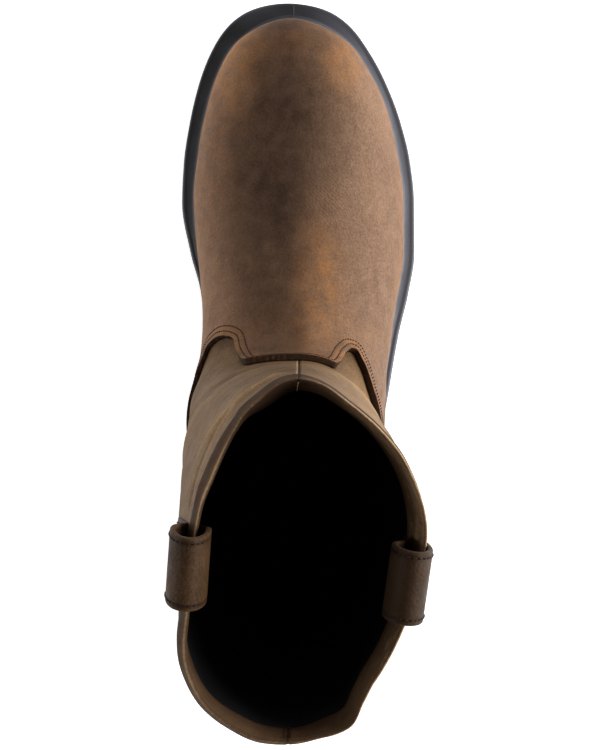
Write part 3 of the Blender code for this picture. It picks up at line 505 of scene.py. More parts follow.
# Strap's rounded edge: distance from the edge, and the share of the thickness there
STRAP_EDGE = np.array(((0.0, 0.45), (0.12, 0.72), (0.35, 0.90), (0.75, 1.0)))
STRAP_EDGE_WIDTH = 2.0
STRAP_COLUMNS = 24
STRAP_SAG = Waves(0.18, 20.0, 31)
STRAP_SAG_RISE = 8.0
STRAP_CLOUDS = Waves(0.07, 26.0, 33)
STRAP_EDGE_LIGHT = 0.08
STRAP_EDGE_REACH = 0.8
STRAP_DENT_DARK = 0.2
STRAP_DENT_WIDTH = 0.5
# Painted shade: the strap legs darker further down below the collar
LEG_SHADE = 0.16
LEG_SHADE_REACH = 12.0
STRAP_STITCH_IN = 2.2
STRAP_STITCH_SEAT = 0.05
STRAP_STITCH_END = -0.7
OUT_OF_REACH = 1e3

# Sole edge profiles: share of the height, and how far in from the outline
PROFILE_HEIGHT = 9.0
OUTSOLE_SIDE_ROWS = 40
OUTSOLE_SIDE = table(
    "share inset",
    (0.00, 2.6),
    (0.12, 1.4),
    (0.46, 1.0),
    (0.52, 1.7),
    (0.60, 1.7),
    (0.66, 0.8),
    (0.76, 0.0),
    (0.94, 0.0),
    (1.00, 0.7),
    (1.00, 2.4),
)
MIDSOLE_SIDE_ROWS = 30
MIDSOLE_SIDE = table(
    "share inset",
    (0.00, 2.4),
    (0.22, 2.2),
    (0.34, 1.5),
    (0.52, 1.5),
    (0.62, 2.2),
    (0.88, 2.2),
)
FRAME_SPREAD = 1.5
SPREAD_RISE = (0.4, 0.85)

# Top of the frame: the bead's inset from the outline and rise, the ledge's rows between bead and lip,
# and the lip's distance out from the vamp and rise
BEAD_SECTION = ((0.80, -0.45), (0.88, -0.22), (1.10, -0.05), (1.50, 0.02), (2.10, 0.03), (2.80, -0.04))
LEDGE_SHARES = (0.15, 0.35, 0.55, 0.75, 0.92)
LIP_SECTION = (
    (3.2, 0.10), (2.95, 0.40), (2.7, 1.00), (2.40, 1.75), (2.00, 2.35), (1.45, 2.65),
    (0.95, 2.60), (0.60, 2.25), (0.45, 1.60), (0.40, 0.30),
)
LEDGE_FALL = 0.9
LEDGE_SINK = 0.06
LEDGE_DISH = 0.10
LIP_GAP = 0.4
LIP_HEIGHT = 2.6
FLOOR_DROP = 2.0
INSOLE_GAP = 0.8
PARTING_X = -3.4
PARTING_START_Y = 250.0
PARTING_WIDTH = 0.35
PARTING_RISE = 0.22
# Painted highlight on the bead, the ledge and the lip round the sole: paler rubber where their edges catch
# the lamps, the ledge and lip most on the lateral side that faces the right softbox
BEAD_HIGHLIGHT = side_rows((-90, 0.30, 0.30), (0, 0.55, 0.50), (60, 0.55, 0.50), (90, 0.14, 0.14))
LEDGE_HIGHLIGHT = side_rows(
    (-90, 0.15, 0.15), (-30, 0.04, 0.42), (60, 0.04, 0.42), (80, 0.00, 0.12), (90, 0.00, 0.00))
LIP_HIGHLIGHT = side_rows((-90, 0.40, 0.40), (0, 0.48, 0.80), (60, 0.48, 0.80), (90, 0.16, 0.16))

# Heel block, with its inset and height from base to top, and lugs
HEEL_BREAST = 86.0
HEEL_BASE = 6.0
HEEL_SIDE = ((4.6, HEEL_BASE), (3.9, 6.2), (3.5, 6.9), (3.1, 9.0), (2.2, 13.0), (1.9, 17.0))
HEEL_COLUMNS = 121
LUG_ROOT = 3.0
LUG_DRAFT = 0.8
EDGE_LUG_INSET = 4.2
EDGE_LUG_PITCH = 20.0
EDGE_LUG_SHARE = 0.66
EDGE_LUG_SAMPLES = 400
OUTLINE_SAMPLES = 720
OUTLINE_END = 89.0
FOREFOOT_START = 146.0
CENTRE_LUG_DEPTH = 12.0
CENTRE_LUG_SWEEP = 6.0
CENTRE_LUG_SHIFT = 1.3
LugZone = namedtuple("LugZone", "edge_length first_y pitch count half_width heading")
FOREFOOT_LUGS = LugZone(24.0, 166.0, 23.0, 5, 19.0, 1.0)
HEEL_LUGS = LugZone(16.0, 42.0, 23.0, 2, 10.0, -1.0)

# Footbed: share of the way in to its middle line, and rise; its gap to the wall and its middle's rise
FOOTBED_SECTION = (
    (0.0, 0.0), (0.0, 3.0), (0.01, 3.7), (0.03, 4.0), (0.08, 4.0), (0.2, 3.8), (0.45, 3.4), (0.75, 3.2))
FOOTBED_GAP = 0.35
FOOTBED_MIDDLE = 3.1

# Colour ramps: place along the ramp, and the screen colour there
OILED = (
    (0.00, (36, 24, 17)), (0.14, (66, 49, 38)), (0.40, (104, 80, 63)), (0.65, (134, 105, 84)),
    (1.00, (180, 144, 115)))
WARM_TAN = ((0.00, (116, 73, 40)), (1.00, (190, 134, 80)))
GREYED = (
    (0.00, (28, 19, 12)), (0.25, (71, 53, 36)), (0.50, (106, 83, 60)), (0.75, (134, 106, 74)),
    (1.00, (176, 141, 90)))
BINDING_BROWN = ((0.00, (16, 10, 7)), (0.40, (56, 39, 26)), (0.70, (92, 70, 51)), (1.00, (205, 170, 130)))
STRAP_BROWN = ((0.00, (16, 10, 7)), (0.40, (56, 40, 27)), (0.70, (92, 68, 45)), (1.00, (150, 113, 74)))
BROWN_THREAD = ((0.3, (24, 14, 9)), (0.7, (54, 34, 22)))
PALE_THREAD = ((0.3, (118, 98, 72)), (0.7, (172, 150, 118)))
BLACK_CLOTH = ((0.0, (11, 10, 12)), (1.0, (28, 26, 29)))
# Footbed cloth near black, darkened as painted shade at the bottom of the boot
FOOTBED_CLOTH = ((0.0, (6, 6, 6)), (1.0, (14, 13, 12)))
FRAME_CHARCOAL = ((0.30, (35, 36, 39)), (0.75, (53, 54, 59)))
TREAD_CHARCOAL = ((0.30, (30, 30, 31)), (0.75, (50, 49, 49)))
# Colour of the painted highlight on the sole frame's rubber
RUBBER_HIGHLIGHT_COLOUR = (98, 101, 111)

# Leather's patterns: clouds to the metre, their detail, and their share of the leather's unevenness
Clouds = namedtuple("Clouds", "scale detail share")
LEATHER_CLOUDS = (Clouds(38.0, 3.0, 0.6), Clouds(150.0, 5.0, 0.8))
LEATHER_STREAKS = Clouds(130.0, 4.0, 0.5)
STREAK_STRETCH = (1.0, 0.2, 1.0)
LEATHER_SPECKLES = (Clouds(850.0, 2.0, 3.0), Clouds(1900.0, 2.0, 3.0))
BOUND_SPECKLE = 0.3
WARM_MOTTLE = (0.45, 1.5)
WRINKLE_TURN = -0.75
WRINKLE_SCALE = 225.0
WRINKLE_BEND = 7.0
WRINKLE_DETAIL = 2.5
WRINKLE_DETAIL_SCALE = 1.2
WRINKLE_TONE = 0.09
WARM_CLOUDS = Clouds(120.0, 5.0, (0.35, 0.65))
PEBBLE_SCALE = 900.0

# Bump of the finishes: strength, and depth in metres; where it is cloudy, clouds to the metre and detail
PEBBLE_BUMP = (0.35, 0.0004)
WRINKLE_BUMP = (0.24, 0.0004)
WEAVE_BUMP = (0.3, 0.0004)
Bump = namedtuple("Bump", "scale detail strength depth")
LEATHER_BUMP = Bump(120.0, 4.0, 0.25, 0.0010)
LEATHER_PORES = Bump(2000.0, 3.0, 0.35, 0.0003)
RUBBER_PITS = Bump(1400.0, 3.0, 0.18, 0.0003)
RUBBER_BUMP = Bump(90.0, 4.0, 0.15, 0.0008)
THREAD_BUMP = Bump(2600.0, 4.0, 0.3, 0.0002)

# Gloss: clouds to the metre, and how far the roughness swings below and above its middle
Gloss = namedtuple("Gloss", "scale below above")
LEATHER_GLOSS = Gloss(210.0, 0.08, 0.10)
RUBBER_GLOSS = Gloss(260.0, 0.06, 0.08)
GLOSS_SPAN = (0.3, 0.7)
SWING_SPAN = (0.25, 0.75)
RUBBER_DUST = Clouds(55.0, 6.0, None)
RUBBER_SHINE = 0.3
WEAVE_ROUGHNESS = (0.95, 0.80)
WEAVE_CLOUDS = Clouds(60.0, 4.0, 0.25)
WEAVE_SHINE = 0.15
THREAD_STREAKS = 700.0
THREAD_ROUGHNESS = (0.75, 0.55)
THREAD_SHINE = 0.1

# Studio: soft boxes with their places, sizes and powers, floor, fill light and camera
Lamp = namedtuple("Lamp", "name place size_across size_up power")
LAMPS = (
    Lamp("right_softbox", (1.00, 0.05, 0.36), 1.2, 0.5, 25.0),
    Lamp("left_softbox", (-1.00, 0.05, 0.36), 1.2, 0.5, 5.6),
    Lamp("toe_softbox", (0.10, 1.10, 0.45), 0.8, 0.5, 2.4),
    Lamp("heel_softbox", (0.10, -1.20, 0.50), 0.8, 0.5, 3.0),
)
LAMP_TARGET = Vector((0.0, 0.02, 0.09))
WHITE = (1.0, 1.0, 1.0, 1.0)
FLOOR_WHITE = (0.9, 0.9, 0.9, 1.0)
FLOOR_ROUGHNESS = 0.9
FLOOR_HALF = 2.5
FLOOR_GLOW = 0.75
WORLD_FILL = 0.16
CAMERA_PLACE = (0.0009, -0.022, 1.1)
CAMERA_LENS = 131.04
CAMERA_SENSOR = 36.0


def smooth_curve(knots, values, at):
    """Cubic through the knots whose slopes never overshoot between rows."""
    at = np.clip(at, knots[0], knots[-1])
    step = np.diff(knots)
    rise = np.diff(values) / step
    before, after = rise[:-1], rise[1:]
    weight_a = 2.0 * step[1:] + step[:-1]
    weight_b = step[1:] + 2.0 * step[:-1]
    same_way = before * after > 0.0
    safe_a = np.where(same_way, before, 1.0)
    safe_b = np.where(same_way, after, 1.0)
    inner = np.where(same_way, (weight_a + weight_b) / (weight_a / safe_a + weight_b / safe_b), 0.0)
    slope = np.concatenate(([rise[0]], inner, [rise[-1]]))
    i = np.clip(np.searchsorted(knots, at, side="right") - 1, 0, len(step) - 1)
    t = (at - knots[i]) / step[i]
    return (values[i] * (1 + 2 * t) * (1 - t) ** 2 + values[i + 1] * t * t * (3 - 2 * t)
            + step[i] * (slope[i] * t * (1 - t) ** 2 - slope[i + 1] * t * t * (1 - t)))


def along(rows, key, name, at):
    """A table's column read at any value of its key."""
    return smooth_curve(rows[key], rows[name], at)


def side_value(rows, angle):
    """A side table read round the boot by ray angle in radians."""
    folded = np.degrees(np.arcsin(np.clip(np.sin(angle), -1.0, 1.0)))
    return np.where(np.cos(angle) < 0.0, along(rows, "angle", "medial", folded),
                    along(rows, "angle", "lateral", folded))


def smooth_step(low, high, value):
    """0 below low, 1 above high, and an even S between them."""
    t = np.clip((value - low) / (high - low), 0.0, 1.0)
    return t * t * (3.0 - 2.0 * t)


def bell(value, width):
    """1 where the value is zero, falling off evenly either way over a width."""
    return np.exp(-(value / width) ** 2)


def unit(vectors):
    """Vectors brought to length 1."""
    return vectors / np.linalg.norm(vectors, axis=-1, keepdims=True)


def run_along(points):
    """Length along a line from its start to each of its points."""
    return np.concatenate(([0.0], np.cumsum(np.linalg.norm(np.diff(points, axis=0), axis=1))))


def read_along(run, values, at):
    """A line's values read at lengths along it."""
    return np.stack([np.interp(at, run, column) for column in values.T], axis=-1)


def end_turn(y, back, front):
    """Angle that runs evenly round the two blunt ends of a length, 0 at the back, pi at the front."""
    return np.arccos(np.clip(1.0 - 2.0 * (y - back) / (front - back), -1.0, 1.0))


def sole_side(name, y):
    """Outline of the sole on one side, rounded at both ends."""
    knots = end_turn(SOLE_OUTLINE["y"], 0.0, SOLE_LENGTH)
    return smooth_curve(knots, SOLE_OUTLINE[name], end_turn(y, 0.0, SOLE_LENGTH))


def sole_level(name, y):
    """One of the sole's heights read along the boot."""
    return along(SOLE_LEVELS, "y", name, y)


def feather_height(y):
    """Bottom edge of the upper, on the floor inside the sole's lip."""
    return sole_level("ledge", y) - FEATHER_DROP


def last_column(name, turn):
    """A column of the last's sections, rounded at both ends."""
    knots = end_turn(LAST_SECTIONS["y"], LAST_HEEL, LAST_TOE)
    return smooth_curve(knots, LAST_SECTIONS[name], turn)


def foot_field(x, y, z):
    """Below zero inside the foot: superellipse sections, tucked in under the widest line."""
    turn = end_turn(y, LAST_HEEL + VAMP_LAYER, LAST_TOE - VAMP_LAYER)
    layer = VAMP_LAYER * np.sqrt(np.sin(turn))
    ridge_x = last_column("ridge_x", turn)
    medial = ridge_x - last_column("medial", turn) - layer
    lateral = last_column("lateral", turn) - ridge_x - layer
    half = np.maximum(np.where(x < ridge_x, medial, lateral), LEAST_SIZE)
    tuck = np.where(x < ridge_x, last_column("medial_tuck", turn), last_column("lateral_tuck", turn))
    rise = last_column("widest_rise", turn)
    equator = feather_height(y) + rise
    height = np.maximum(last_column("ridge_z", turn) - layer - equator, LEAST_SIZE)
    power = last_column("roundness", turn)
    below = smooth_step(0.0, 1.0, (equator - z) / rise)
    across = np.abs(x - ridge_x) / np.maximum(half - tuck * below, LEAST_SIZE)
    up = np.maximum(z - equator, 0.0) / height
    inside = ((across ** power + up ** power) ** (1.0 / power) - 1.0) * np.minimum(half, height)
    past_end = np.maximum(LAST_HEEL + VAMP_LAYER - y, y - LAST_TOE + VAMP_LAYER)
    return np.where(past_end > 0.0, np.maximum(inside, past_end), inside)


def shaft_field(x, y, z):
    """Below zero inside the shaft: each level is four quarter superellipses, waved near the collar."""
    row = {name: along(SHAFT_SECTIONS, "z", name, z) for name in SHAFT_SECTIONS if name != "z"}
    forward = np.clip((y - row["back"]) / (row["front"] - row["back"]), 0.0, 1.0)
    middle = BACK_SEAM_X + (FRONT_SEAM_X - BACK_SEAM_X) * forward
    on_left = x < middle
    widest_y = np.where(on_left, row["left_y"], row["right_y"])
    half = np.where(on_left, middle - row["left"], row["right"] - middle)
    ahead = y > widest_y
    depth = np.where(ahead, row["front"] - widest_y, widest_y - row["back"])
    left_power = np.where(ahead, row["front_left"], row["back_left"])
    right_power = np.where(ahead, row["front_right"], row["back_right"])
    power = np.where(on_left, left_power, right_power)
    across = np.abs(x - middle) / half
    deep = np.abs(y - widest_y) / depth
    bearing = np.arctan2(y - SHAFT_MIDDLE_Y, x - AXIS_X)
    wave = side_value(COLLAR_WAVE, bearing) * smooth_step(WAVE_START, COLLAR_HEIGHT, z)
    return ((across ** power + deep ** power) ** (1.0 / power) - 1.0) * half - wave


def upper_field(x, y, z):
    """Foot and shaft joined with a fillet: least at the heel, tight round the ankle, wide in the throat."""
    foot = foot_field(x, y, z)
    shaft = shaft_field(x, y, z)
    blend = ANKLE_BLEND + (THROAT_BLEND - ANKLE_BLEND) * smooth_step(*THROAT_STRETCH, y)
    blend = blend * (HEEL_BLEND + (1.0 - HEEL_BLEND) * smooth_step(*HEEL_STRETCH, y))
    overlap = np.maximum(blend - np.abs(foot - shaft), 0.0) / blend
    return np.minimum(foot, shaft) - 0.25 * blend * overlap ** 2


def ring_height(share, y):
    """Height of a ring: it leaves the feather line and becomes a plane tilted up to the front."""
    heel_z = along(RINGS, "share", "heel_z", share)
    front_y = along(RINGS, "share", "front_y", share)
    front_z = along(RINGS, "share", "front_z", share)
    plane = heel_z + (front_z - heel_z) * y / front_y
    lifted = feather_height(y) + heel_z - RINGS["heel_z"][0]
    return lifted + (plane - lifted) * smooth_step(0.0, RING_BLEND, share)


def ray_length(outside, x, y, go_x, go_y, reach):
    """Distance along plan-view rays to where outside turns true, by halving."""
    near = np.zeros_like(x)
    far = np.full_like(x, reach)
    for _ in range(HALVINGS):
        middle = 0.5 * (near + far)
        out = outside(x + middle * go_x, y + middle * go_y)
        far = np.where(out, middle, far)
        near = np.where(out, near, middle)
    return 0.5 * (near + far)


def axis_ends(share):
    """Back and front end of the line that a ring's rays start from, set in from the ring's own ends."""
    start = np.full_like(share, AXIS_START_Y)
    axis_x = np.full_like(share, AXIS_X)

    def outside(x, y):
        return upper_field(x, y, ring_height(share, y)) > 0.0

    zero, one = np.zeros_like(share), np.ones_like(share)
    front = start + ray_length(outside, axis_x, start, zero, one, FRONT_RAY) - AXIS_FRONT_REACH
    back = start - ray_length(outside, axis_x, start, zero, -one, BACK_RAY) + AXIS_BACK_REACH
    return back, front


AXIS_SHARES = np.linspace(0.0, 1.0, AXIS_RINGS)
AXIS_BACKS, AXIS_FRONTS = axis_ends(AXIS_SHARES)


def ring_axis(share):
    """Middle and half length of the line that a ring's rays start from."""
    back = np.interp(share, AXIS_SHARES, AXIS_BACKS)
    front = np.interp(share, AXIS_SHARES, AXIS_FRONTS)
    return 0.5 * (front + back), 0.5 * (front - back)


def upper_point(share, angle):
    """Outer surface of the upper: where a ring's ray leaves the upper's field."""
    share, angle = np.broadcast_arrays(np.asarray(share, float), np.asarray(angle, float))
    middle, half = ring_axis(share)
    x = np.full_like(share, AXIS_X)
    y = middle + half * np.sin(angle)

    def outside(ray_x, ray_y):
        return upper_field(ray_x, ray_y, ring_height(share, ray_y)) > 0.0

    length = ray_length(outside, x, y, np.cos(angle), np.sin(angle), UPPER_RAY)
    x = x + length * np.cos(angle)
    y = y + length * np.sin(angle)
    return loop_at(x, y, ring_height(share, y))


def plan_offset(angle, share, distance):
    """Loop round the upper at one ring, moved out level along its normal: step round crossed with step up."""
    share = np.broadcast_to(share, angle.shape)
    above, below = np.minimum(share + NORMAL_STEP, 1.0), np.maximum(share - NORMAL_STEP, 0.0)
    up = upper_point(above, angle) - upper_point(below, angle)
    round_ = upper_point(share, angle + NORMAL_STEP) - upper_point(share, angle - NORMAL_STEP)
    out = unit(np.cross(round_, up)[:, :2])
    moved = upper_point(share, angle)[:, :2] + distance * out
    return moved[:, 0], moved[:, 1]


def share_at_rise(angle, rise):
    """Share of the way up at which each column has risen so far above the feather line, by halving."""
    low = np.zeros_like(angle)
    high = np.full_like(angle, RING_BLEND)
    for _ in range(HALVINGS):
        middle = 0.5 * (low + high)
        point = upper_point(middle, angle)
        above = point[:, 2] - feather_height(point[:, 1]) > rise
        high = np.where(above, middle, high)
        low = np.where(above, low, middle)
    return 0.5 * (low + high)


def collar_side(side, y, z):
    """Outer wall of the shaft on one side at a distance from the heel and a height."""
    start = np.full_like(y, AXIS_X)

    def outside(x, ray_y):
        return upper_field(x, ray_y, z) > 0.0

    return start + side * ray_length(outside, start, y, np.full_like(y, side), np.zeros_like(y), COLLAR_RAY)


def loop_at(x, y, z):
    """Points from their three coordinates."""
    return np.stack((x, y, z), axis=-1)


def sole_rays(angle):
    """Start points and directions of the rays that lay out the sole."""
    middle, half = ring_axis(np.zeros(1))
    start_y = middle[0] + half[0] * np.sin(angle)
    return np.full_like(angle, AXIS_X), start_y, np.cos(angle), np.sin(angle)


def outline_point(angle, inset):
    """Point of the sole's outline moved in along its own ray."""
    x, y, go_x, go_y = sole_rays(angle)

    def outside(ray_x, ray_y):
        beyond = (ray_y < 0.0) | (ray_y > SOLE_LENGTH)
        return beyond | (ray_x < sole_side("medial", ray_y)) | (ray_x > sole_side("lateral", ray_y))

    length = ray_length(outside, x, y, go_x, go_y, OUTLINE_RAY) - inset
    return x + length * go_x, y + length * go_y


def sunk(name, offset):
    """A sole level, raised by an offset, as a function of y."""
    return lambda y: sole_level(name, y) + offset


def axis_line(angle, level):
    """Axis points of a cap, from heel to toe, at a height read along the sole."""
    x, y, _, _ = sole_rays(angle[:len(angle) // 2 + 1])
    return loop_at(x, y, level(y))


def angle_at(y):
    """Ray angle that meets the lateral outline at a distance from the heel."""
    angle = np.radians(np.linspace(-OUTLINE_END, OUTLINE_END, OUTLINE_SAMPLES))
    return np.interp(y, outline_point(angle, EDGE_LUG_INSET)[1], angle)


def fine_angles():
    """Ray angles in radians for the fine grids, crowded at the seams and beside the tongue."""
    share = np.linspace(0.0, 1.0, FINE_PER_SIDE + 1)
    lateral = np.radians(along(FINE_COLUMNS, "share", "angle", share))
    return np.concatenate((lateral, np.pi - lateral[-2:0:-1]))


def surface_normals(points, share):
    """Unit normals of a grid closed round: step round crossed with step up, level at the feather line."""
    round_ = np.roll(points, -1, axis=1) - np.roll(points, 1, axis=1)
    normal = np.cross(round_, np.gradient(points, axis=0))
    normal[..., 2] *= smooth_step(0.0, LEVEL_NORMALS, share)
    return unit(normal)


def soft_waves(points, waves):
    """Gentle unevenness either way of zero: sines in seeded directions, summed."""
    rng = np.random.default_rng(waves.seed)
    total = np.zeros(points.shape[:-1])
    for _ in range(WAVE_COUNT):
        direction = unit(rng.normal(size=3)) * rng.uniform(0.6, 1.5) * 2.0 * np.pi / waves.length
        total += np.sin(points @ direction + rng.uniform(0.0, 2.0 * np.pi))
    return waves.amount * (total / (0.5 * WAVE_COUNT))


def line_reach(points, line):
    """Distance from each grid point to a line's nearest sample, and how far along it that sample lies."""
    distance, place = [], []
    for row in points:
        apart = np.sqrt(((row[:, None, :] - line) ** 2).sum(-1))
        distance.append(apart.min(1))
        place.append(apart.argmin(1) / (len(line) - 1.0))
    return np.array(distance), np.array(place)


def painted(points, patches):
    """Lighter and warmer amounts at each point: soft round patches in plan, summed."""
    lighter = np.zeros(points.shape[:-1])
    warmer = np.zeros(points.shape[:-1])
    for patch in patches:
        weight = bell(points[..., 0] - patch.x, patch.reach_x) * bell(points[..., 1] - patch.y, patch.reach_y)
        lighter += patch.lighter * weight
        warmer += patch.warmer * weight
    return lighter, warmer


def grid_faces(rows, columns, close_rows=False):
    """Quads of a grid of points, closed round its columns and, where asked, from last row to first."""
    row = np.arange(rows if close_rows else rows - 1)[:, None]
    side = np.arange(columns)[None, :]
    next_row, next_side = (row + 1) % rows, (side + 1) % columns
    corners = (row * columns + side, row * columns + next_side,
               next_row * columns + next_side, next_row * columns + side)
    return np.stack(np.broadcast_arrays(*corners), axis=-1).reshape(-1, 4)


def lid_faces(columns):
    """Quads across a loop, from a stretch of one side to the one it faces; an odd loop ends in a triangle."""
    i = np.arange((columns - 1) // 2)
    return np.stack((i, i + 1, columns - 2 - i, columns - 1 - i), axis=-1)


def cap_faces(loop_start, axis_start, columns, facing_up):
    """Quads between a loop round the boot and the axis line inside it."""
    i = np.arange(columns // 2)
    lateral = np.stack((loop_start + i, loop_start + i + 1, axis_start + i + 1, axis_start + i), axis=-1)
    other = (columns - i) % columns
    medial = np.stack((loop_start + other, axis_start + i, axis_start + i + 1,
                       loop_start + columns - i - 1), axis=-1)
    quads = np.concatenate((lateral, medial))
    return quads if facing_up else quads[:, ::-1]


def add_piece(name, points, faces, finish, slot, node=None, smooth=True, **attributes):
    """Piece of quads, triangles where a corner repeats, in metres, riding on the boot in a node's place."""
    placed = (np.asarray(points, float).reshape(-1, 3) - (ORIGIN_X, ORIGIN_Y, 0.0)) * MM
    kept = np.ones(faces.shape, bool)
    kept[:, 1:] = faces[:, 1:] != faces[:, :-1]
    corners, sizes = faces[kept], kept.sum(axis=1)
    mesh = bpy.data.meshes.new(name)
    mesh.vertices.add(len(placed))
    mesh.vertices.foreach_set("co", placed.ravel())
    mesh.loops.add(len(corners))
    mesh.loops.foreach_set("vertex_index", corners)
    mesh.polygons.add(len(faces))
    mesh.polygons.foreach_set("loop_start", np.cumsum(sizes) - sizes)
    mesh.polygons.foreach_set("use_smooth", np.full(len(faces), smooth))
    for label, values in attributes.items():
        layer = mesh.attributes.new(label, "FLOAT", "POINT")
        layer.data.foreach_set("value", np.asarray(values, np.float32).ravel())
    mesh.update(calc_edges=True)
    mesh.materials.append(finish)
    piece = bpy.data.objects.new(name, mesh)
    bpy.context.collection.objects.link(piece)
    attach(piece, "root")
    if node is not None:
        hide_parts(node)


def add_skin(name, points, finish, slot, node, **attributes):
    """Closed skin: rows of points round the boot, the last row joined to the first."""
    faces = grid_faces(*points.shape[:2], close_rows=True)
    add_piece(name, points, faces, finish, slot, node, **attributes)


def add_block(name, loops, bottom, top, finish, slot, node, **attributes):
    """Closed block: loops stacked from the bottom to the top, capped to the axis line at both ends."""
    rows, columns = len(loops), len(loops[0])
    points = np.concatenate(list(loops) + [bottom, top])
    base = cap_faces(0, rows * columns, columns, False)
    lid = cap_faces((rows - 1) * columns, rows * columns + len(bottom), columns, True)
    faces = np.concatenate((grid_faces(rows, columns), base, lid))
    add_piece(name, points, faces, finish, slot, node, **attributes)


def add_stitches(name, path, out, stitch, thread, slot):
    """Stitches along a path: at an even pitch a short capsule, its ends dipping into the leather."""
    run = run_along(path)
    count = int(run[-1] / stitch.pitch)
    at = (np.arange(count) + 0.5) * run[-1] / count
    middle = read_along(run, path, at)
    step = HEADING_SHARE * stitch.length
    heading = unit(read_along(run, path, at + step) - read_along(run, path, at - step))
    rise = read_along(run, out, at)
    rise = unit(rise - (rise * heading).sum(-1, keepdims=True) * heading)
    across = np.cross(heading, rise)
    turn = np.linspace(0.0, 2.0 * np.pi, CAPSULE_SIDES, endpoint=False)
    place = CAPSULE_PLACES[:, None] * np.ones(CAPSULE_SIDES)
    width = CAPSULE_WIDTHS[:, None]
    forward = 0.5 * stitch.length * place
    sideways = stitch.radius * width * np.cos(turn)
    upward = stitch.radius * (width * np.sin(turn) + CAPSULE_RISE - CAPSULE_DIP * place ** 2)
    points = (middle[:, None, None] + forward[..., None] * heading[:, None, None]
              + sideways[..., None] * across[:, None, None] + upward[..., None] * rise[:, None, None])
    rings = len(CAPSULE_PLACES)
    start = np.array(((0, 1, 2, 3), (3, 4, 5, 0)))
    end = start[:, ::-1] + (rings - 1) * CAPSULE_SIDES
    one = np.concatenate((grid_faces(rings, CAPSULE_SIDES)[:, ::-1], start, end))
    faces = (np.arange(count) * rings * CAPSULE_SIDES)[:, None, None] + one
    add_piece(name, points, faces.reshape(-1, 4), thread, slot)


def closed_line(points):
    """A line of points with its first point again at the end."""
    return np.concatenate((points, points[:1]))


def ease_ridge(points, angle):
    """Rounds the ridge over the instep: points by the front middle move to the mean of their neighbours."""
    weight = 0.5 * bell(angle - 0.5 * np.pi, RIDGE_REACH)[:, None]
    for _ in range(RIDGE_PASSES):
        mean = 0.5 * (np.roll(points, 1, axis=1) + np.roll(points, -1, axis=1))
        points = points + weight * (mean - points)
    return points


def vamp_colours(skin, normal, to_edge):
    """Tone, warmth and flex of the vamp: patches with painted highlights, a dark band on the up-facing top
    that is partly painted shade, painted golden highlights on the upright sides and low by the sole, painted
    shade on the lateral side, frayed and dark cut edges.
    """
    x, y, upward = skin[..., 0], skin[..., 1], normal[..., 2]
    lighter, warmer = painted(skin, VAMP_TONE_AND_HIGHLIGHT_PATCHES)
    # Painted highlight: a lighter, warmer band low on the vamp by the sole
    low_highlight = bell(skin[..., 2] - feather_height(y) - LOW_HIGHLIGHT_RISE, LOW_HIGHLIGHT_WIDTH)
    frayed = bell(to_edge, FRAYED_REACH) * (FRAYED.amount + soft_waves(skin, FRAYED))
    # Painted shade on the up-facing top, on partly darker leather
    top_dark_and_shade = bell(x - TOP_DARK_AND_SHADE_X, TOP_DARK_AND_SHADE_WIDTH) * smooth_step(*TOP_DARK_AND_SHADE_SLOPE, upward)
    # Upright sides: painted golden highlight on both, painted shade on the lateral one
    upright = (1.0 - smooth_step(*SIDE_SLOPE, upward)) * smooth_step(*SIDE_STRETCH, y)
    tone = VAMP_TONE + lighter + LOW_HIGHLIGHT_TONE * low_highlight - TOP_DARK_AND_SHADE_DEPTH * top_dark_and_shade
    tone -= EDGE_DARK * np.exp(-to_edge / EDGE_DARK_REACH)
    tone -= LATERAL_SHADE * upright * smooth_step(*LATERAL_SPAN, x)
    warm = warmer + LOW_HIGHLIGHT_WARM * low_highlight + SIDE_GOLD_HIGHLIGHT * upright + FRAYED_WARM * frayed
    flex = bell(x - FLEX_X, FLEX_REACH_X) * bell(y - FLEX_Y, FLEX_REACH_Y)
    return tone, np.clip(warm, 0.0, 1.0), flex


def edge_offset(skin, normal, to_edge, inset):
    """Line on a skin at one distance from its edge: in each column, the first crossing from the top."""
    beyond = to_edge[::-1] >= inset
    first = len(to_edge) - 1 - beyond.argmax(axis=0)
    column = np.arange(to_edge.shape[1])
    inner, outer = to_edge[first, column], to_edge[first + 1, column]
    mix = ((inner - inset) / np.maximum(inner - outer, 1e-6))[:, None]
    path = skin[first, column] * (1.0 - mix) + skin[first + 1, column] * mix
    out = unit(normal[first, column] * (1.0 - mix) + normal[first + 1, column] * mix)
    return closed_line(path), closed_line(out)


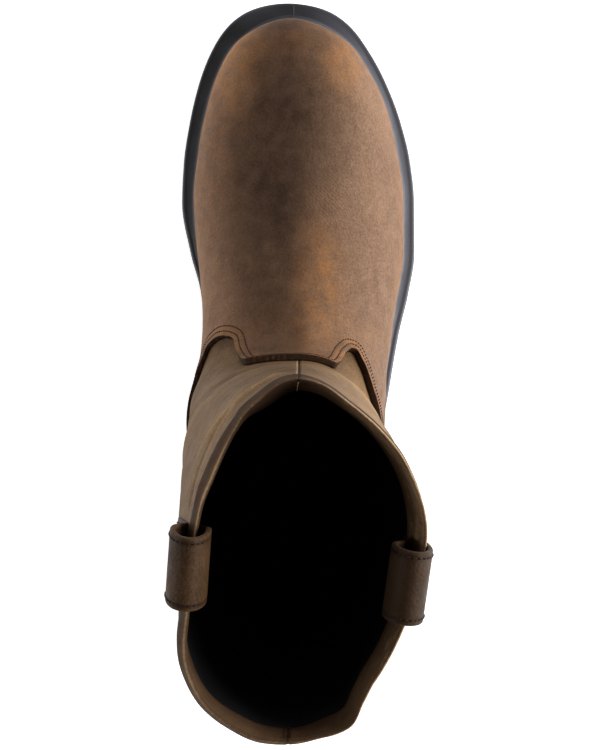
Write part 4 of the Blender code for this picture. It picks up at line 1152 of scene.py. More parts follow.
def add_vamp(angle, finish, thread):
    """Vamp leather: the upper lifted by its thickness, swollen at a cut edge, with its two stitch rows."""
    climb = 1.0 - (1.0 - np.linspace(0.0, 1.0, VAMP_ROWS)) ** EDGE_CROWDING
    share = climb[:, None] * side_value(VAMP_EDGE, angle)
    base = ease_ridge(upper_point(share, angle), angle)
    normal = surface_normals(base, share)
    skin = base + VAMP_LAYER * normal
    edge = closed_line(skin[-1])
    run = run_along(edge)
    even_edge = read_along(run, edge, np.linspace(0.0, run[-1], EDGE_SAMPLES, endpoint=False))
    to_edge, _ = line_reach(skin, even_edge)
    swell = EDGE_SWELL * (SIDE_SWELL + (1.0 - SIDE_SWELL) * smooth_step(*SWELL_RISE, np.sin(angle)))
    puff = soft_waves(skin, VAMP_UNEVEN) + swell * bell(to_edge, SWELL_REACH)
    for inset in VAMP_STITCH_ROWS:
        puff -= STITCH_DENT * bell(to_edge - inset, STITCH_DENT_WIDTH)
    puff *= smooth_step(0.0, LEVEL_FOOT, share)
    skin = skin + puff[..., None] * normal
    skin[0, :, 2] = feather_height(skin[0, :, 1])
    up = unit(skin[-1] - skin[-3])
    ragged = soft_waves(skin[-1], CUT_RAGGED)[:, None] * up
    cut_depth = (VAMP_LEATHER + swell)[:, None] * normal[-1]
    foot_of_cut = base[-1] + CLEARANCE * normal[-1] + ragged
    cut = [foot_of_cut + left * cut_depth + bulge * up for left, bulge in CUT_EDGE]
    picked = np.linspace(VAMP_ROWS - 1, 0, VAMP_UNDER_ROWS).astype(int)
    hidden = np.concatenate((cut, base[picked] + CLEARANCE * normal[picked]))
    tone, warm, flex = vamp_colours(skin, normal, to_edge)
    tone = np.concatenate((tone, CUT_TONE + soft_waves(hidden, CUT_MOTTLE)))
    warm = np.concatenate((warm, np.full(hidden.shape[:2], CUT_WARM)))
    flex = np.concatenate((flex, np.zeros(hidden.shape[:2])))
    points = np.concatenate((skin, hidden))
    add_skin("vamp_overlay", points, finish, "vamp_leather", "vamp", tone=tone, warm=warm, flex=flex)
    for number, inset in enumerate(VAMP_STITCH_ROWS):
        path, out = edge_offset(skin, normal, to_edge, inset)
        add_stitches("vamp_stitches_%d" % (number + 1), path, out, VAMP_STITCH, thread, "vamp_leather")


def fold_line(fold):
    """A fold's line on the upper: ray angles and shares through its named points, closely sampled."""
    steps = np.linspace(0.0, 1.0, len(fold.angles))
    fine = np.linspace(0.0, 1.0, FOLD_SAMPLES)
    angle = np.radians(smooth_curve(steps, np.array(fold.angles, float), fine))
    share = smooth_curve(steps, np.array(fold.shares, float), fine)
    return upper_point(share, angle if fold.side > 0.0 else np.pi - angle)


def by_seam(points, seam):
    """Whether points lie on the end of the shaft that has a seam."""
    return points[..., 1] > SHAFT_FRONT_Y if seam.front else points[..., 1] < SHAFT_BACK_Y


def seam_groove(points, seam):
    """How deep in a shaft seam each point lies: a bell across the seam's plane on its end of the boot."""
    return np.where(by_seam(points, seam), bell(points[..., 0] - seam.x, SEAM_WIDTH), 0.0)


def collar_rim(skin_top, out, flare, angle):
    """Rows of the bound collar: up the binding to its crest, which leans in, and down the facing inside."""
    collar = upper_point(1.0, angle) + flare[:, None] * out
    set_out = CREST_INWARD * (1.0 - side_value(CREST_LEAN, angle))
    inward = COLLAR_BINDING["inward"][:, None]
    inward = inward - set_out * np.clip(inward / CREST_INWARD, 0.0, 1.0)
    climb = COLLAR_BINDING["share"][:, None, None]
    binding = skin_top + (collar - skin_top) * climb - inward[..., None] * out
    depth = COLLAR_FACING["depth"][:, None]
    inward = COLLAR_FACING["inward"][:, None] - (set_out + flare) * (1.0 - depth)
    inward = inward + side_value(FACING_SLACK, angle) * depth
    share = 1.0 + (side_value(FACING_FOOT, angle) - 1.0) * depth
    return binding, upper_point(share, angle) - inward[..., None] * out


def rim_tones(angle):
    """Tone of the binding's and the facing's rows: their own, with painted light and shade inside the crest
    and a painted highlight on it.
    """
    shade = side_value(RIM_LIGHT_AND_SHADE, angle)
    binding = COLLAR_BINDING["tone"][:, None] + np.outer(COLLAR_BINDING["shaded"], shade)
    binding += np.outer(COLLAR_BINDING["crest"], side_value(CREST_HIGHLIGHT, angle))
    facing = COLLAR_FACING["tone"][:, None] + np.outer(COLLAR_FACING["shaded"], shade)
    return np.concatenate((binding, facing))


def add_seam_stitches(name, facing, out, seam, thread):
    """Stitches down the inside of a shaft seam, a row at each offset sideways from it."""
    for number, offset in enumerate(seam.stitch_rows):
        sideways = np.abs(facing[0, :, 0] - seam.x - offset)
        nearest = np.where(by_seam(facing[0], seam), sideways, OUT_OF_REACH).argmin()
        path = facing[:-2, nearest]
        inward = np.broadcast_to(-out[nearest], path.shape)
        add_stitches("%s_%d" % (name, number + 1), path, inward, SEAM_STITCH, thread, "shaft_leather")


def add_shaft(angle, finish, pale_thread, thread):
    """Shaft leather: outer skin with its folds and two seams, a rolled rim, a facing, and the inner skin."""
    edge = side_value(VAMP_EDGE, angle)
    start = np.maximum(edge - SHAFT_UNDER_VAMP, 0.0)
    hidden = np.linspace(0.0, 1.0, SHAFT_HIDDEN_ROWS + 1)[:-1, None] * start
    shown = start + np.linspace(0.0, 1.0, SHAFT_ROWS)[:, None] * (BINDING_START - start)
    share = np.concatenate((hidden, shown))
    base = upper_point(share, angle)
    normal = surface_normals(base, share)
    lift = soft_waves(base, SHAFT_SAG) + soft_waves(base, SHAFT_RIPPLE)
    tone = SHAFT_TONE + soft_waves(base, SHAFT_CLOUDS) + painted(base, SHAFT_PATCHES)[0]
    for fold in SHAFT_FOLDS:
        distance, place = line_reach(base, fold_line(fold))
        fade = smooth_step(0.0, FOLD_FADE_IN, place) * smooth_step(0.0, FOLD_FADE_OUT, 1.0 - place)
        ridge = bell(distance, fold.width) * fade
        lift += fold.height * ridge
        # Painted light and shade on the folds: ridges lighter as wear and painted highlight, creases darker
        # as painted shade
        tone += fold.rubbed * ridge
    above_vamp = smooth_step(0.0, FREE_EASE, share - edge)
    free = above_vamp * (1.0 - STIFF_SHARE * smooth_step(STIFF_START, BINDING_START, share))
    drop = UNDER_VAMP_DROP * smooth_step(0.0, UNDER_VAMP_EASE, edge - share - UNDER_VAMP_EASE)
    seam = seam_groove(base, FRONT_SEAM) + seam_groove(base, BACK_SEAM)
    skin = base + (lift * free - drop - SEAM_DEPTH * seam * above_vamp)[..., None] * normal
    # Painted highlight: a lighter strip beside the front seam
    beside = bell(base[..., 0] - FRONT_SEAM.x + SEAM_EDGE_IN, SEAM_EDGE_WIDTH) * by_seam(base, FRONT_SEAM)
    tone += SEAM_EDGE_HIGHLIGHT * beside - SEAM_DARK * seam
    out = unit(normal[-1] * (1.0, 1.0, 0.0))
    flare = side_value(COLLAR_FLARE, angle)
    skin = skin + (flare * smooth_step(FLARE_START, BINDING_START, share))[..., None] * out
    binding, facing = collar_rim(base[-1] + flare[:, None] * out, out, flare, angle)
    binding -= RIM_SEAM_SHARE * SEAM_DEPTH * seam[-1][:, None] * out
    picked = np.linspace(len(share) - SHAFT_INNER_TOP, 0, SHAFT_INNER_ROWS).astype(int)
    inner = base[picked] - SHELL_INNER * normal[picked]
    points = np.concatenate((skin, binding, facing, inner))
    tone = np.concatenate((tone, rim_tones(angle) - RIM_SEAM_DARK * seam[-1], np.zeros(inner.shape[:2])))
    bound = np.zeros(tone.shape)
    bound[len(skin):] = 1.0
    add_skin("shaft", points, finish, "shaft_leather", "upper", tone=tone, bound=bound)
    add_seam_stitches("front_seam_stitches", facing, out, FRONT_SEAM, pale_thread)
    add_seam_stitches("back_seam_stitches", facing, out, BACK_SEAM, thread)


def add_lining(angle, finish):
    """Lining inside the shaft and foot: a thin closed skin from the facing down to the footbed."""
    angle = angle[::2]
    top = side_value(FACING_FOOT, angle) + LINING_OVERLAP
    share = np.linspace(0.0, 1.0, LINING_ROWS)[:, None] * top
    base = upper_point(share, angle)
    normal = surface_normals(base, share)
    lift = soft_waves(base, LINING_SAG) * smooth_step(0.0, LINING_EASE, share)
    lift = (lift * smooth_step(0.0, LINING_EASE, top - share))[..., None]
    outer = base - (SHELL_INNER + CLEARANCE - lift) * normal
    inner = base - (SHELL_INNER + CLEARANCE + LINING_SKIN - lift) * normal
    add_skin("lining", np.concatenate((outer, inner[::-1])), finish, "footbed", "upper")


def strap_path():
    """Middle line of a strap: outer leg, swelling neck, round bow over the collar, inner leg."""
    outer_neck = 0.5 * WALL - OUTER_NECK_IN + 0.5 * LEG_LEATHER
    inner_neck = 0.5 * WALL + INNER_NECK_OUT + 0.5 * LEG_LEATHER
    rise = np.linspace(LOOP_NECK, LOOP_WIDEST, NECK_POINTS)[:-1]
    swell = smooth_step(LOOP_NECK, LOOP_WIDEST, rise)
    bow = np.linspace(0.0, np.pi, BOW_POINTS)
    outer_leg = np.linspace(OUTER_LEG, LOOP_NECK, OUTER_LEG_POINTS)[:-1]
    inner_leg = np.linspace(LOOP_NECK, INNER_LEG, INNER_LEG_POINTS)[1:]
    across = np.concatenate((np.full(len(outer_leg), outer_neck),
                             outer_neck + (LOOP_HALF_WIDTH - outer_neck) * swell,
                             LOOP_HALF_WIDTH * np.cos(bow),
                             -(inner_neck + (LOOP_HALF_WIDTH - inner_neck) * swell)[::-1],
                             np.full(len(inner_leg), -inner_neck)))
    height = np.concatenate((outer_leg, rise, LOOP_WIDEST + (LOOP_TOP - LOOP_WIDEST) * np.sin(bow),
                             rise[::-1], inner_leg))
    return across, height


def strap_frame(loop, across, height, station):
    """Points of a strap's section at stations along the collar: out from the wall, at their heights."""
    level = COLLAR_HEIGHT + np.minimum(height, 0.0)
    station, level = np.broadcast_arrays(station, level)
    leg = station - LEG_SETBACK * loop.setback
    wall = collar_side(loop.side, leg, level)
    slope = 0.5 * (collar_side(loop.side, leg + 1.0, level) - collar_side(loop.side, leg - 1.0, level))
    rigid = smooth_step(LOOP_NECK, LOOP_WIDEST, height)
    straight = loop.middle_x + 0.5 * loop.side * WALL + loop.lean * (station - loop.middle_y)
    back = loop.setback * (LEG_SETBACK + (1.0 - LEG_SETBACK) * rigid) + loop.rake * np.maximum(height, 0.0)
    wall = wall + rigid * (straight - wall)
    slope = slope + rigid * (loop.lean - slope)
    out = unit(np.stack((np.full_like(slope, loop.side), -loop.side * slope), axis=-1))
    reach = across - 0.5 * WALL
    z = np.broadcast_to(COLLAR_HEIGHT + height, wall.shape)
    return loop_at(wall + reach * out[..., 0], station + reach * out[..., 1] - back, z)


def add_strap(loop, finish, thread):
    """Folded strap: a rounded rectangle carried along the loop, with stitch rows by both edges."""
    across, height = strap_path()
    heading = unit(np.stack((np.gradient(across), np.gradient(height)), axis=-1))
    skived = LEG_LEATHER + (STRAP_LEATHER - LEG_LEATHER) * smooth_step(LOOP_NECK, LOOP_WIDEST, height)
    half = 0.5 * skived
    inset, thick = STRAP_EDGE.T
    edge = 0.5 * STRAP_WIDTH
    middle = np.linspace(STRAP_EDGE_WIDTH - edge, edge - STRAP_EDGE_WIDTH, STRAP_COLUMNS)
    offset = np.concatenate((inset - edge, middle, (edge - inset)[::-1]))
    depth = half * np.concatenate((thick, np.ones(len(middle)), thick[::-1]))[:, None]
    aside, above = depth * heading[:, 1], depth * heading[:, 0]
    section = np.concatenate((across + aside, (across - aside)[:, ::-1]), axis=1)
    level = np.concatenate((height - above, (height + above)[:, ::-1]), axis=1)
    points = strap_frame(loop, section, level, loop.middle_y + offset[:, None])
    points[..., 2] += soft_waves(points, STRAP_SAG) * smooth_step(0.0, STRAP_SAG_RISE, level)
    rows, columns = section.shape
    lid = lid_faces(columns)
    faces = np.concatenate((grid_faces(rows, columns), lid[:, ::-1], (rows - 1) * columns + lid))
    if loop.side > 0.0:
        faces = faces[:, ::-1]
    from_edge = edge - np.abs(offset)
    tone = loop.tone + STRAP_EDGE_LIGHT * bell(from_edge, STRAP_EDGE_REACH)
    tone -= STRAP_DENT_DARK * bell(from_edge - STRAP_STITCH_IN, STRAP_DENT_WIDTH)
    # Painted shade: the legs darker further down
    tone = tone[:, None] - LEG_SHADE * smooth_step(0.0, LEG_SHADE_REACH, -level)
    tone += soft_waves(points, STRAP_CLOUDS)
    add_piece(loop.name, points, faces, finish, "strap_leather", loop.node, tone=tone)
    past_end = np.abs(across - STRAP_STITCH_END * LOOP_HALF_WIDTH) + OUT_OF_REACH * (height < LOOP_WIDEST)
    sewn = slice(0, past_end.argmin() + 1)
    seat = half + STRAP_STITCH_SEAT
    line_across = (across + seat * heading[:, 1])[sewn]
    line_height = (height - seat * heading[:, 0])[sewn]
    for number, sign in enumerate((-1.0, 1.0)):
        station = np.full(len(line_across), loop.middle_y + sign * (edge - STRAP_STITCH_IN))
        path = strap_frame(loop, line_across, line_height, station)
        far = strap_frame(loop, line_across + heading[sewn, 1], line_height - heading[sewn, 0], station)
        name = "%s_stitches_%d" % (loop.name, number + 1)
        add_stitches(name, path, unit(far - path), STRAP_STITCH, thread, "strap_leather")


def smooth_profile(rows, count):
    """A side profile resampled along its own length on rounded curves."""
    run = run_along(np.stack((PROFILE_HEIGHT * rows["share"], rows["inset"]), axis=-1))
    at = np.linspace(0.0, run[-1], count)
    return zip(smooth_curve(run, rows["share"], at), smooth_curve(run, rows["inset"], at))


def add_sole_frame(angle, finish):
    """Moulded frame: rounded side steps, bead, dished ledge with a mould line, and the raised lip."""
    loops = []
    for share, inset in smooth_profile(MIDSOLE_SIDE, MIDSOLE_SIDE_ROWS):
        x, y = outline_point(angle, inset - FRAME_SPREAD * smooth_step(*SPREAD_RISE, share))
        low = sole_level("split", y) + CLEARANCE
        loops.append(loop_at(x, y, low + share * (sole_level("ledge", y) - LEDGE_FALL - low)))
    for inset, rise in BEAD_SECTION:
        x, y = outline_point(angle, inset)
        loops.append(loop_at(x, y, sole_level("ledge", y) - LEDGE_FALL + rise))
    lip_share = share_at_rise(angle, FEATHER_DROP + LIP_HEIGHT)
    lip = []
    for distance, rise in LIP_SECTION:
        x, y = plan_offset(angle, lip_share, VAMP_LAYER + distance)
        lip.append(loop_at(x, y, sole_level("ledge", y) + rise))
    bead = loops[-1]
    for blend in LEDGE_SHARES:
        loop = bead + (lip[0] - bead) * blend
        dip = LEDGE_SINK + LEDGE_DISH * np.sin(np.pi * blend) + LEDGE_FALL * (1.0 - blend)
        loop[:, 2] = sole_level("ledge", loop[:, 1]) - dip
        loops.append(loop)
    loops += lip
    for distance in (VAMP_LAYER + LIP_GAP, -(WALL + INSOLE_GAP)):
        x, y = plan_offset(angle, 0.0, distance)
        loops.append(loop_at(x, y, sole_level("ledge", y) - FLOOR_DROP))
    loops = np.array(loops)
    parting = bell(loops[..., 0] - PARTING_X, PARTING_WIDTH) * (loops[..., 1] > PARTING_START_Y)
    loops[MIDSOLE_SIDE_ROWS:-2, :, 2] += PARTING_RISE * parting[MIDSOLE_SIDE_ROWS:-2]
    bottom, top = axis_line(angle, sunk("split", CLEARANCE)), axis_line(angle, sunk("ledge", -FLOOR_DROP))
    # Painted highlight: paler rubber on the bead, ledge and lip where the lamps catch them
    worn = np.zeros(loops.shape[:2])
    ledge_row = MIDSOLE_SIDE_ROWS + len(BEAD_SECTION)
    lip_row = ledge_row + len(LEDGE_SHARES)
    worn[MIDSOLE_SIDE_ROWS:ledge_row - 2] = side_value(BEAD_HIGHLIGHT, angle)
    worn[ledge_row - 2:lip_row] = side_value(LEDGE_HIGHLIGHT, angle)
    worn[lip_row:-5] = side_value(LIP_HIGHLIGHT, angle)
    worn = np.concatenate((worn.ravel(), np.zeros(len(bottom) + len(top))))
    add_block("sole_frame", loops, bottom, top, finish, "rim_rubber", "midsole", worn=worn)


def add_tread(angle, finish):
    """Tread plate with arch and toe spring: its side profile stacked from the plate up to the frame."""
    loops = []
    for share, inset in smooth_profile(OUTSOLE_SIDE, OUTSOLE_SIDE_ROWS):
        x, y = outline_point(angle, inset)
        low = sole_level("plate", y)
        loops.append(loop_at(x, y, low + share * (sole_level("split", y) - low)))
    bottom, top = axis_line(angle, sunk("plate", 0.0)), axis_line(angle, sunk("split", 0.0))
    add_block("tread", loops, bottom, top, finish, "tread_rubber", "outsole")


def add_heel_block(finish):
    """Heel block under the plate: loops on the sole's outline behind the breast, from base to top."""
    breast = angle_at(HEEL_BREAST)
    angle = np.linspace(breast, -np.pi - breast, HEEL_COLUMNS)[::-1]
    block = [loop_at(*outline_point(angle, inset), np.full_like(angle, z)) for inset, z in HEEL_SIDE]
    lid = lid_faces(HEEL_COLUMNS)
    top = (len(HEEL_SIDE) - 1) * HEEL_COLUMNS + lid
    faces = np.concatenate((grid_faces(len(HEEL_SIDE), HEEL_COLUMNS), lid[:, ::-1], top))
    add_piece("heel_block", block, faces, finish, "tread_rubber", "outsole")


def edge_lugs(zone, first_angle, last_angle):
    """Plans of the lugs round the edge of the tread, at an even pitch between two ray angles."""
    fine = np.linspace(first_angle, last_angle, EDGE_LUG_SAMPLES)
    run = run_along(np.stack(outline_point(fine, EDGE_LUG_INSET), axis=-1))
    count = int(round(run[-1] / EDGE_LUG_PITCH))
    lugs = []
    for i in range(count):
        start = (i + 0.5 - 0.5 * EDGE_LUG_SHARE) / count * run[-1]
        stop = (i + 0.5 + 0.5 * EDGE_LUG_SHARE) / count * run[-1]
        angle = np.interp(np.linspace(start, stop, 3), run, fine)
        outer = outline_point(angle, EDGE_LUG_INSET)
        inner = outline_point(angle[[2, 0]], EDGE_LUG_INSET + zone.edge_length)
        lugs.append(np.concatenate((outer, inner), axis=1))
    return lugs


def centre_lugs(zone):
    """Plans of the chevron lugs down the middle, pointing to the toe in the forefoot and back in the heel."""
    half, depth = zone.half_width, 0.5 * CENTRE_LUG_DEPTH
    sweep = zone.heading * CENTRE_LUG_SWEEP
    lugs = []
    for i in range(zone.count):
        middle_y = zone.first_y + i * zone.pitch
        middle_x = 0.5 * (sole_side("medial", middle_y) + sole_side("lateral", middle_y)) + CENTRE_LUG_SHIFT
        x = middle_x + np.array((-half, 0.0, half, half, 0.0, -half))
        y = middle_y + np.array((-depth, sweep - depth, -depth, depth, sweep + depth, depth))
        lugs.append((x, y))
    return lugs


def lug_points(plan, root):
    """Upright block over a plan: its lower face lies on the ground line, drawn in towards its middle."""
    x, y = plan
    drawn_in = 1.0 - LUG_DRAFT / np.hypot(x - x.mean(), y - y.mean())
    low_x = x.mean() + (x - x.mean()) * drawn_in
    low_y = y.mean() + (y - y.mean()) * drawn_in
    return np.concatenate((loop_at(low_x, low_y, sole_level("tread", low_y)), loop_at(x, y, root(y))))


def add_lugs(finish):
    """Lugs, each a closed drafted block set into the plate or the heel block above it."""
    breast, fore = angle_at(HEEL_BREAST), angle_at(FOREFOOT_START)

    def heel_root(y):
        return np.full_like(y, HEEL_BASE + LUG_ROOT)

    forefoot = edge_lugs(FOREFOOT_LUGS, fore, np.pi - fore) + centre_lugs(FOREFOOT_LUGS)
    heel = edge_lugs(HEEL_LUGS, -np.pi - breast, breast) + centre_lugs(HEEL_LUGS)
    blocks = [lug_points(plan, sunk("plate", LUG_ROOT)) for plan in forefoot]
    blocks += [lug_points(plan, heel_root) for plan in heel]
    faces = []
    start = 0
    for corners in blocks:
        count = len(corners) // 2
        lids = np.array(((0, 1, 4, count - 1), (1, 2, 3, 4)))
        faces.append(start + np.concatenate((grid_faces(2, count), lids[:, ::-1], count + lids)))
        start += len(corners)
    points, faces = np.concatenate(blocks), np.concatenate(faces)
    add_piece("lugs", points, faces, finish, "tread_rubber", "outsole", smooth=False)


def add_footbed(angle, finish):
    """Footbed: a dished board with a rounded upper edge, lying on the floor of the sole frame."""
    angle = angle[::2]
    x, y = plan_offset(angle, 0.0, -(WALL + FOOTBED_GAP))
    axis_x, axis_y, _, _ = sole_rays(angle)
    base = CLEARANCE - FLOOR_DROP
    loops = []
    for inward, rise in FOOTBED_SECTION:
        loop_x, loop_y = x + (axis_x - x) * inward, y + (axis_y - y) * inward
        loops.append(loop_at(loop_x, loop_y, sole_level("ledge", loop_y) + base + rise))
    bottom = axis_line(angle, sunk("ledge", base))
    top = axis_line(angle, sunk("ledge", base + FOOTBED_MIDDLE))
    add_block("footbed", loops, bottom, top, finish, "footbed", "insole")


def srgb(red, green, blue):
    """Linear colour of a screen colour given in steps of 255."""
    value = np.array((red, green, blue)) / 255.0
    linear = np.where(value <= 0.04045, value / 12.92, ((value + 0.055) / 1.055) ** 2.4)
    return (*linear.tolist(), 1.0)


def new_finish(name):
    """New material with its node tree and main shader."""
    finish = bpy.data.materials.new(name)
    finish.use_nodes = True
    return finish, finish.node_tree, finish.node_tree.nodes["Principled BSDF"]


def add_node(tree, kind, inputs, **settings):
    """Shader node with its settings and inputs; an input that is a socket is linked."""
    node = tree.nodes.new(kind)
    for name, value in settings.items():
        setattr(node, name, value)
    for name, value in inputs.items():
        if isinstance(value, bpy.types.NodeSocket):
            tree.links.new(value, node.inputs[name])
        else:
            node.inputs[name].default_value = value
    return node


def object_place(tree, stretch=(1.0, 1.0, 1.0), turn=0.0):
    """Object coordinates, stretched and turned where a pattern has a direction."""
    place = tree.nodes.new("ShaderNodeTexCoord").outputs["Object"]
    inputs = {"Vector": place, "Scale": stretch, "Rotation": (0.0, 0.0, turn)}
    return add_node(tree, "ShaderNodeMapping", inputs).outputs[0]


def cloudy(tree, place, scale, detail=4.0):
    """Cloudy noise from 0 to 1 with so many clouds to the metre."""
    inputs = {"Vector": place, "Scale": scale, "Detail": detail}
    return add_node(tree, "ShaderNodeTexNoise", inputs).outputs[0]


def combine(tree, operation, first, second):
    """Two values added or multiplied."""
    return add_node(tree, "ShaderNodeMath", {0: first, 1: second}, operation=operation).outputs[0]


def map_range(tree, value, low, high, start=0.0, stop=1.0):
    """A value that runs from start to stop turned into one that runs from low to high."""
    return add_node(tree, "ShaderNodeMapRange", {0: value, 1: start, 2: stop, 3: low, 4: high}).outputs[0]


def swing(tree, value, amount):
    """A cloudy value turned into a swing of so much either way."""
    return map_range(tree, value, -amount, amount, *SWING_SPAN)


def painted_value(tree, name):
    """A value painted on the mesh's points."""
    return add_node(tree, "ShaderNodeAttribute", {}, attribute_name=name).outputs["Fac"]


def colour_ramp(tree, value, stops):
    """Colour read from a ramp's stops by a value from 0 to 1."""
    node = add_node(tree, "ShaderNodeValToRGB", {0: value})
    elements = node.color_ramp.elements
    for place, colour in stops[1:-1]:
        elements.new(place).color = srgb(*colour)
    for element, (place, colour) in ((elements[0], stops[0]), (elements[-1], stops[-1])):
        element.position, element.color = place, srgb(*colour)
    return node.outputs[0]


def colour_mix(tree, factor, first, second):
    """Two colours mixed by a factor."""
    return add_node(tree, "ShaderNodeMix", {0: factor, 6: first, 7: second}, data_type="RGBA").outputs[2]


def cloud_bump(tree, place, bump):
    """Bump layer of cloudy noise: its height, strength and depth."""
    return cloudy(tree, place, bump.scale, bump.detail), bump.strength, bump.depth


def cloudy_gloss(tree, place, gloss, middle):
    """Roughness that swings in clouds about its middle."""
    clouds = cloudy(tree, place, gloss.scale)
    return map_range(tree, clouds, middle - gloss.below, middle + gloss.above, *GLOSS_SPAN)


def dress(tree, shader, colour, roughness, shine, layers):
    """Colour, roughness, shine and bump of a finish: each layer has a height, a strength and a depth."""
    tree.links.new(colour, shader.inputs["Base Color"])
    tree.links.new(roughness, shader.inputs["Roughness"])
    shader.inputs["Specular IOR Level"].default_value = shine
    inputs = {}
    for height, strength, depth in layers:
        inputs.update({"Height": height, "Strength": strength, "Distance": depth})
        inputs["Normal"] = add_node(tree, "ShaderNodeBump", inputs).outputs[0]
    tree.links.new(inputs["Normal"], shader.inputs["Normal"])


def leather_finish(name, stops, roughness, shine, uneven, second=None, flexed=False):
    """Oiled leather: ramps read by painted tone and clouds, pebbled grain, slanting wrinkles where flexed."""
    finish, tree, shader = new_finish(name)
    place = object_place(tree)
    speckled = tone = painted_value(tree, "tone")
    if second is not None:
        label, second_stops = second
        share = painted_value(tree, label)
    if second is not None and not flexed:
        speckled = combine(tree, "MULTIPLY", tone, map_range(tree, share, 1.0, BOUND_SPECKLE))
    for clouds in LEATHER_CLOUDS:
        noise = cloudy(tree, place, clouds.scale, clouds.detail)
        tone = combine(tree, "ADD", tone, swing(tree, noise, clouds.share * uneven))
    streaks = cloudy(tree, object_place(tree, STREAK_STRETCH), LEATHER_STREAKS.scale, LEATHER_STREAKS.detail)
    tone = combine(tree, "ADD", tone, swing(tree, streaks, LEATHER_STREAKS.share * uneven))
    for clouds in LEATHER_SPECKLES:
        noise = swing(tree, cloudy(tree, place, clouds.scale, clouds.detail), clouds.share * uneven)
        tone = combine(tree, "ADD", tone, combine(tree, "MULTIPLY", speckled, noise))
    pebbles = {"Vector": place, "Scale": PEBBLE_SCALE}
    pebbles = add_node(tree, "ShaderNodeTexVoronoi", pebbles, feature="SMOOTH_F1").outputs[0]
    layers = [cloud_bump(tree, place, LEATHER_BUMP), (pebbles, *PEBBLE_BUMP),
              cloud_bump(tree, place, LEATHER_PORES)]
    if flexed:
        slant = object_place(tree, turn=WRINKLE_TURN)
        waves = {"Vector": slant, "Scale": WRINKLE_SCALE, "Distortion": WRINKLE_BEND,
                 "Detail": WRINKLE_DETAIL, "Detail Scale": WRINKLE_DETAIL_SCALE}
        waves = add_node(tree, "ShaderNodeTexWave", waves, wave_profile="SIN").outputs[1]
        wrinkles = combine(tree, "MULTIPLY", waves, painted_value(tree, "flex"))
        tone = combine(tree, "ADD", tone, combine(tree, "MULTIPLY", wrinkles, WRINKLE_TONE))
        layers.append((wrinkles, *WRINKLE_BUMP))
        noise = cloudy(tree, place, WARM_CLOUDS.scale, WARM_CLOUDS.detail)
        mottle = map_range(tree, noise, *WARM_MOTTLE, *WARM_CLOUDS.share)
        share = combine(tree, "MULTIPLY", share, mottle)
    colour = colour_ramp(tree, tone, stops)
    if second is not None:
        colour = colour_mix(tree, share, colour, colour_ramp(tree, tone, second_stops))
    dress(tree, shader, colour, cloudy_gloss(tree, place, LEATHER_GLOSS, roughness), shine, layers)
    return finish


def rubber_finish(name, stops, roughness):
    """Moulded rubber: charcoal with faint dusty clouds, paler where a painted highlight is laid on, and a
    fine pitted skin.
    """
    finish, tree, shader = new_finish(name)
    place = object_place(tree)
    dusty = colour_ramp(tree, cloudy(tree, place, RUBBER_DUST.scale, RUBBER_DUST.detail), stops)
    # Paler rubber where the frame has a painted highlight
    colour = colour_mix(tree, painted_value(tree, "worn"), dusty, srgb(*RUBBER_HIGHLIGHT_COLOUR))
    gloss = cloudy_gloss(tree, place, RUBBER_GLOSS, roughness)
    layers = (cloud_bump(tree, place, RUBBER_PITS), cloud_bump(tree, place, RUBBER_BUMP))
    dress(tree, shader, colour, gloss, RUBBER_SHINE, layers)
    return finish


def cloth_finish(name, stops, scale):
    """Woven lining: crossing waves of thread in two close shades."""
    finish, tree, shader = new_finish(name)
    place = object_place(tree)
    inputs = {"Vector": place, "Scale": scale}
    threads = [add_node(tree, "ShaderNodeTexWave", inputs, bands_direction=way).outputs[1] for way in "YZ"]
    weave = combine(tree, "MULTIPLY", *threads)
    noise = cloudy(tree, place, WEAVE_CLOUDS.scale, WEAVE_CLOUDS.detail)
    shade = combine(tree, "ADD", weave, swing(tree, noise, WEAVE_CLOUDS.share))
    roughness = map_range(tree, weave, *WEAVE_ROUGHNESS)
    dress(tree, shader, colour_ramp(tree, shade, stops), roughness, WEAVE_SHINE, ((weave, *WEAVE_BUMP),))
    return finish


def thread_finish(name, stops):
    """Waxed sewing thread: two browns in short streaks, slightly glossy."""
    finish, tree, shader = new_finish(name)
    place = object_place(tree)
    streak = cloudy(tree, place, THREAD_STREAKS)
    roughness = map_range(tree, streak, *THREAD_ROUGHNESS)
    layers = (cloud_bump(tree, place, THREAD_BUMP),)
    dress(tree, shader, colour_ramp(tree, streak, stops), roughness, THREAD_SHINE, layers)
    return finish


def add_floor():
    """Plain pale floor that gives back a soft light."""
    mesh = bpy.data.meshes.new("floor")
    half = FLOOR_HALF
    corners = [(-half, -half, 0.0), (half, -half, 0.0), (half, half, 0.0), (-half, half, 0.0)]
    mesh.from_pydata(corners, [], [(0, 1, 2, 3)])
    floor = bpy.data.objects.new("floor", mesh)
    bpy.context.collection.objects.link(floor)
    finish, _, shader = new_finish("floor_white")
    shader.inputs["Base Color"].default_value = FLOOR_WHITE
    shader.inputs["Roughness"].default_value = FLOOR_ROUGHNESS
    shader.inputs["Emission Color"].default_value = WHITE
    shader.inputs["Emission Strength"].default_value = FLOOR_GLOW
    mesh.materials.append(finish)


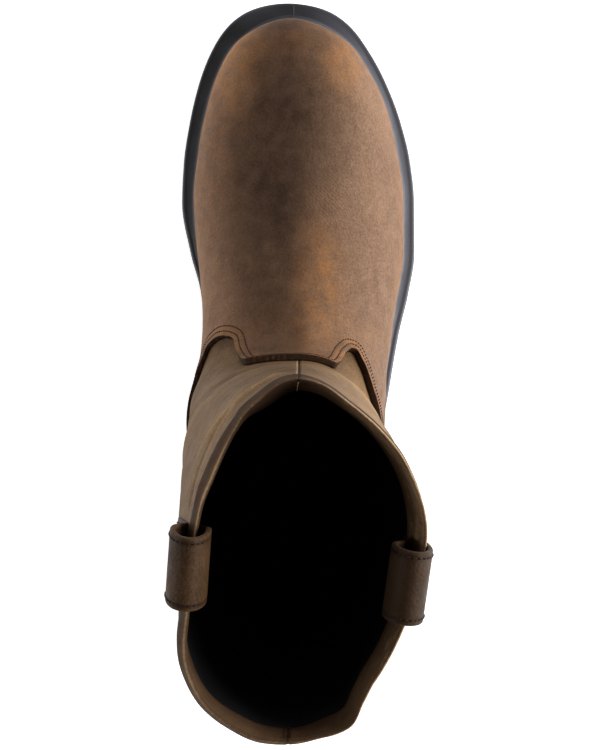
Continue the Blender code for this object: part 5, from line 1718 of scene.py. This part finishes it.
def add_lights():
    """Soft boxes round the boot, low at its sides, with a dim even fill."""
    world = bpy.data.worlds.new("studio")
    world.use_nodes = True
    background = world.node_tree.nodes["Background"]
    background.inputs[0].default_value = WHITE
    background.inputs[1].default_value = WORLD_FILL
    bpy.context.scene.world = world
    for lamp in LAMPS:
        light = bpy.data.lights.new(lamp.name, "AREA")
        light.shape = "RECTANGLE"
        light.size, light.size_y = lamp.size_across, lamp.size_up
        light.energy = lamp.power
        holder = bpy.data.objects.new(lamp.name, light)
        holder.location = lamp.place
        holder.rotation_euler = (LAMP_TARGET - Vector(lamp.place)).to_track_quat("-Z", "Z").to_euler()
        bpy.context.collection.objects.link(holder)


def add_camera():
    """Camera straight above the boot, toe up in the picture."""
    camera = bpy.data.cameras.new("camera")
    camera.lens = CAMERA_LENS
    camera.sensor_width = CAMERA_SENSOR
    camera.sensor_fit = "HORIZONTAL"
    holder = bpy.data.objects.new("camera", camera)
    holder.location = CAMERA_PLACE
    bpy.context.collection.objects.link(holder)
    bpy.context.scene.camera = holder


add_camera()
add_lights()
add_floor()
bpy.context.scene.view_settings.view_transform = "Standard"

vamp_leather = leather_finish("oiled_leather", OILED, 0.58, 0.05, 0.065, ("warm", WARM_TAN), True)
shaft_leather = leather_finish("greyed_leather", GREYED, 0.62, 0.04, 0.055, ("bound", BINDING_BROWN))
strap_leather = leather_finish("strap_leather", STRAP_BROWN, 0.52, 0.05, 0.05)
brown_thread = thread_finish("brown_thread", BROWN_THREAD)
pale_thread = thread_finish("pale_thread", PALE_THREAD)
black_lining = cloth_finish("black_lining", BLACK_CLOTH, 900.0)
footbed_cloth = cloth_finish("footbed_cloth", FOOTBED_CLOTH, 600.0)
frame_rubber = rubber_finish("frame_rubber", FRAME_CHARCOAL, 0.46)
tread_rubber = rubber_finish("tread_rubber", TREAD_CHARCOAL, 0.55)

angles = fine_angles()
add_vamp(angles, vamp_leather, brown_thread)
add_shaft(angles, shaft_leather, pale_thread, brown_thread)
add_lining(angles, black_lining)
for pull_loop in PULL_LOOPS:
    add_strap(pull_loop, strap_leather, brown_thread)
add_sole_frame(angles, frame_rubber)
add_tread(angles, tread_rubber)
add_heel_block(tread_rubber)
add_lugs(tread_rubber)
add_footbed(angles, footbed_cloth)
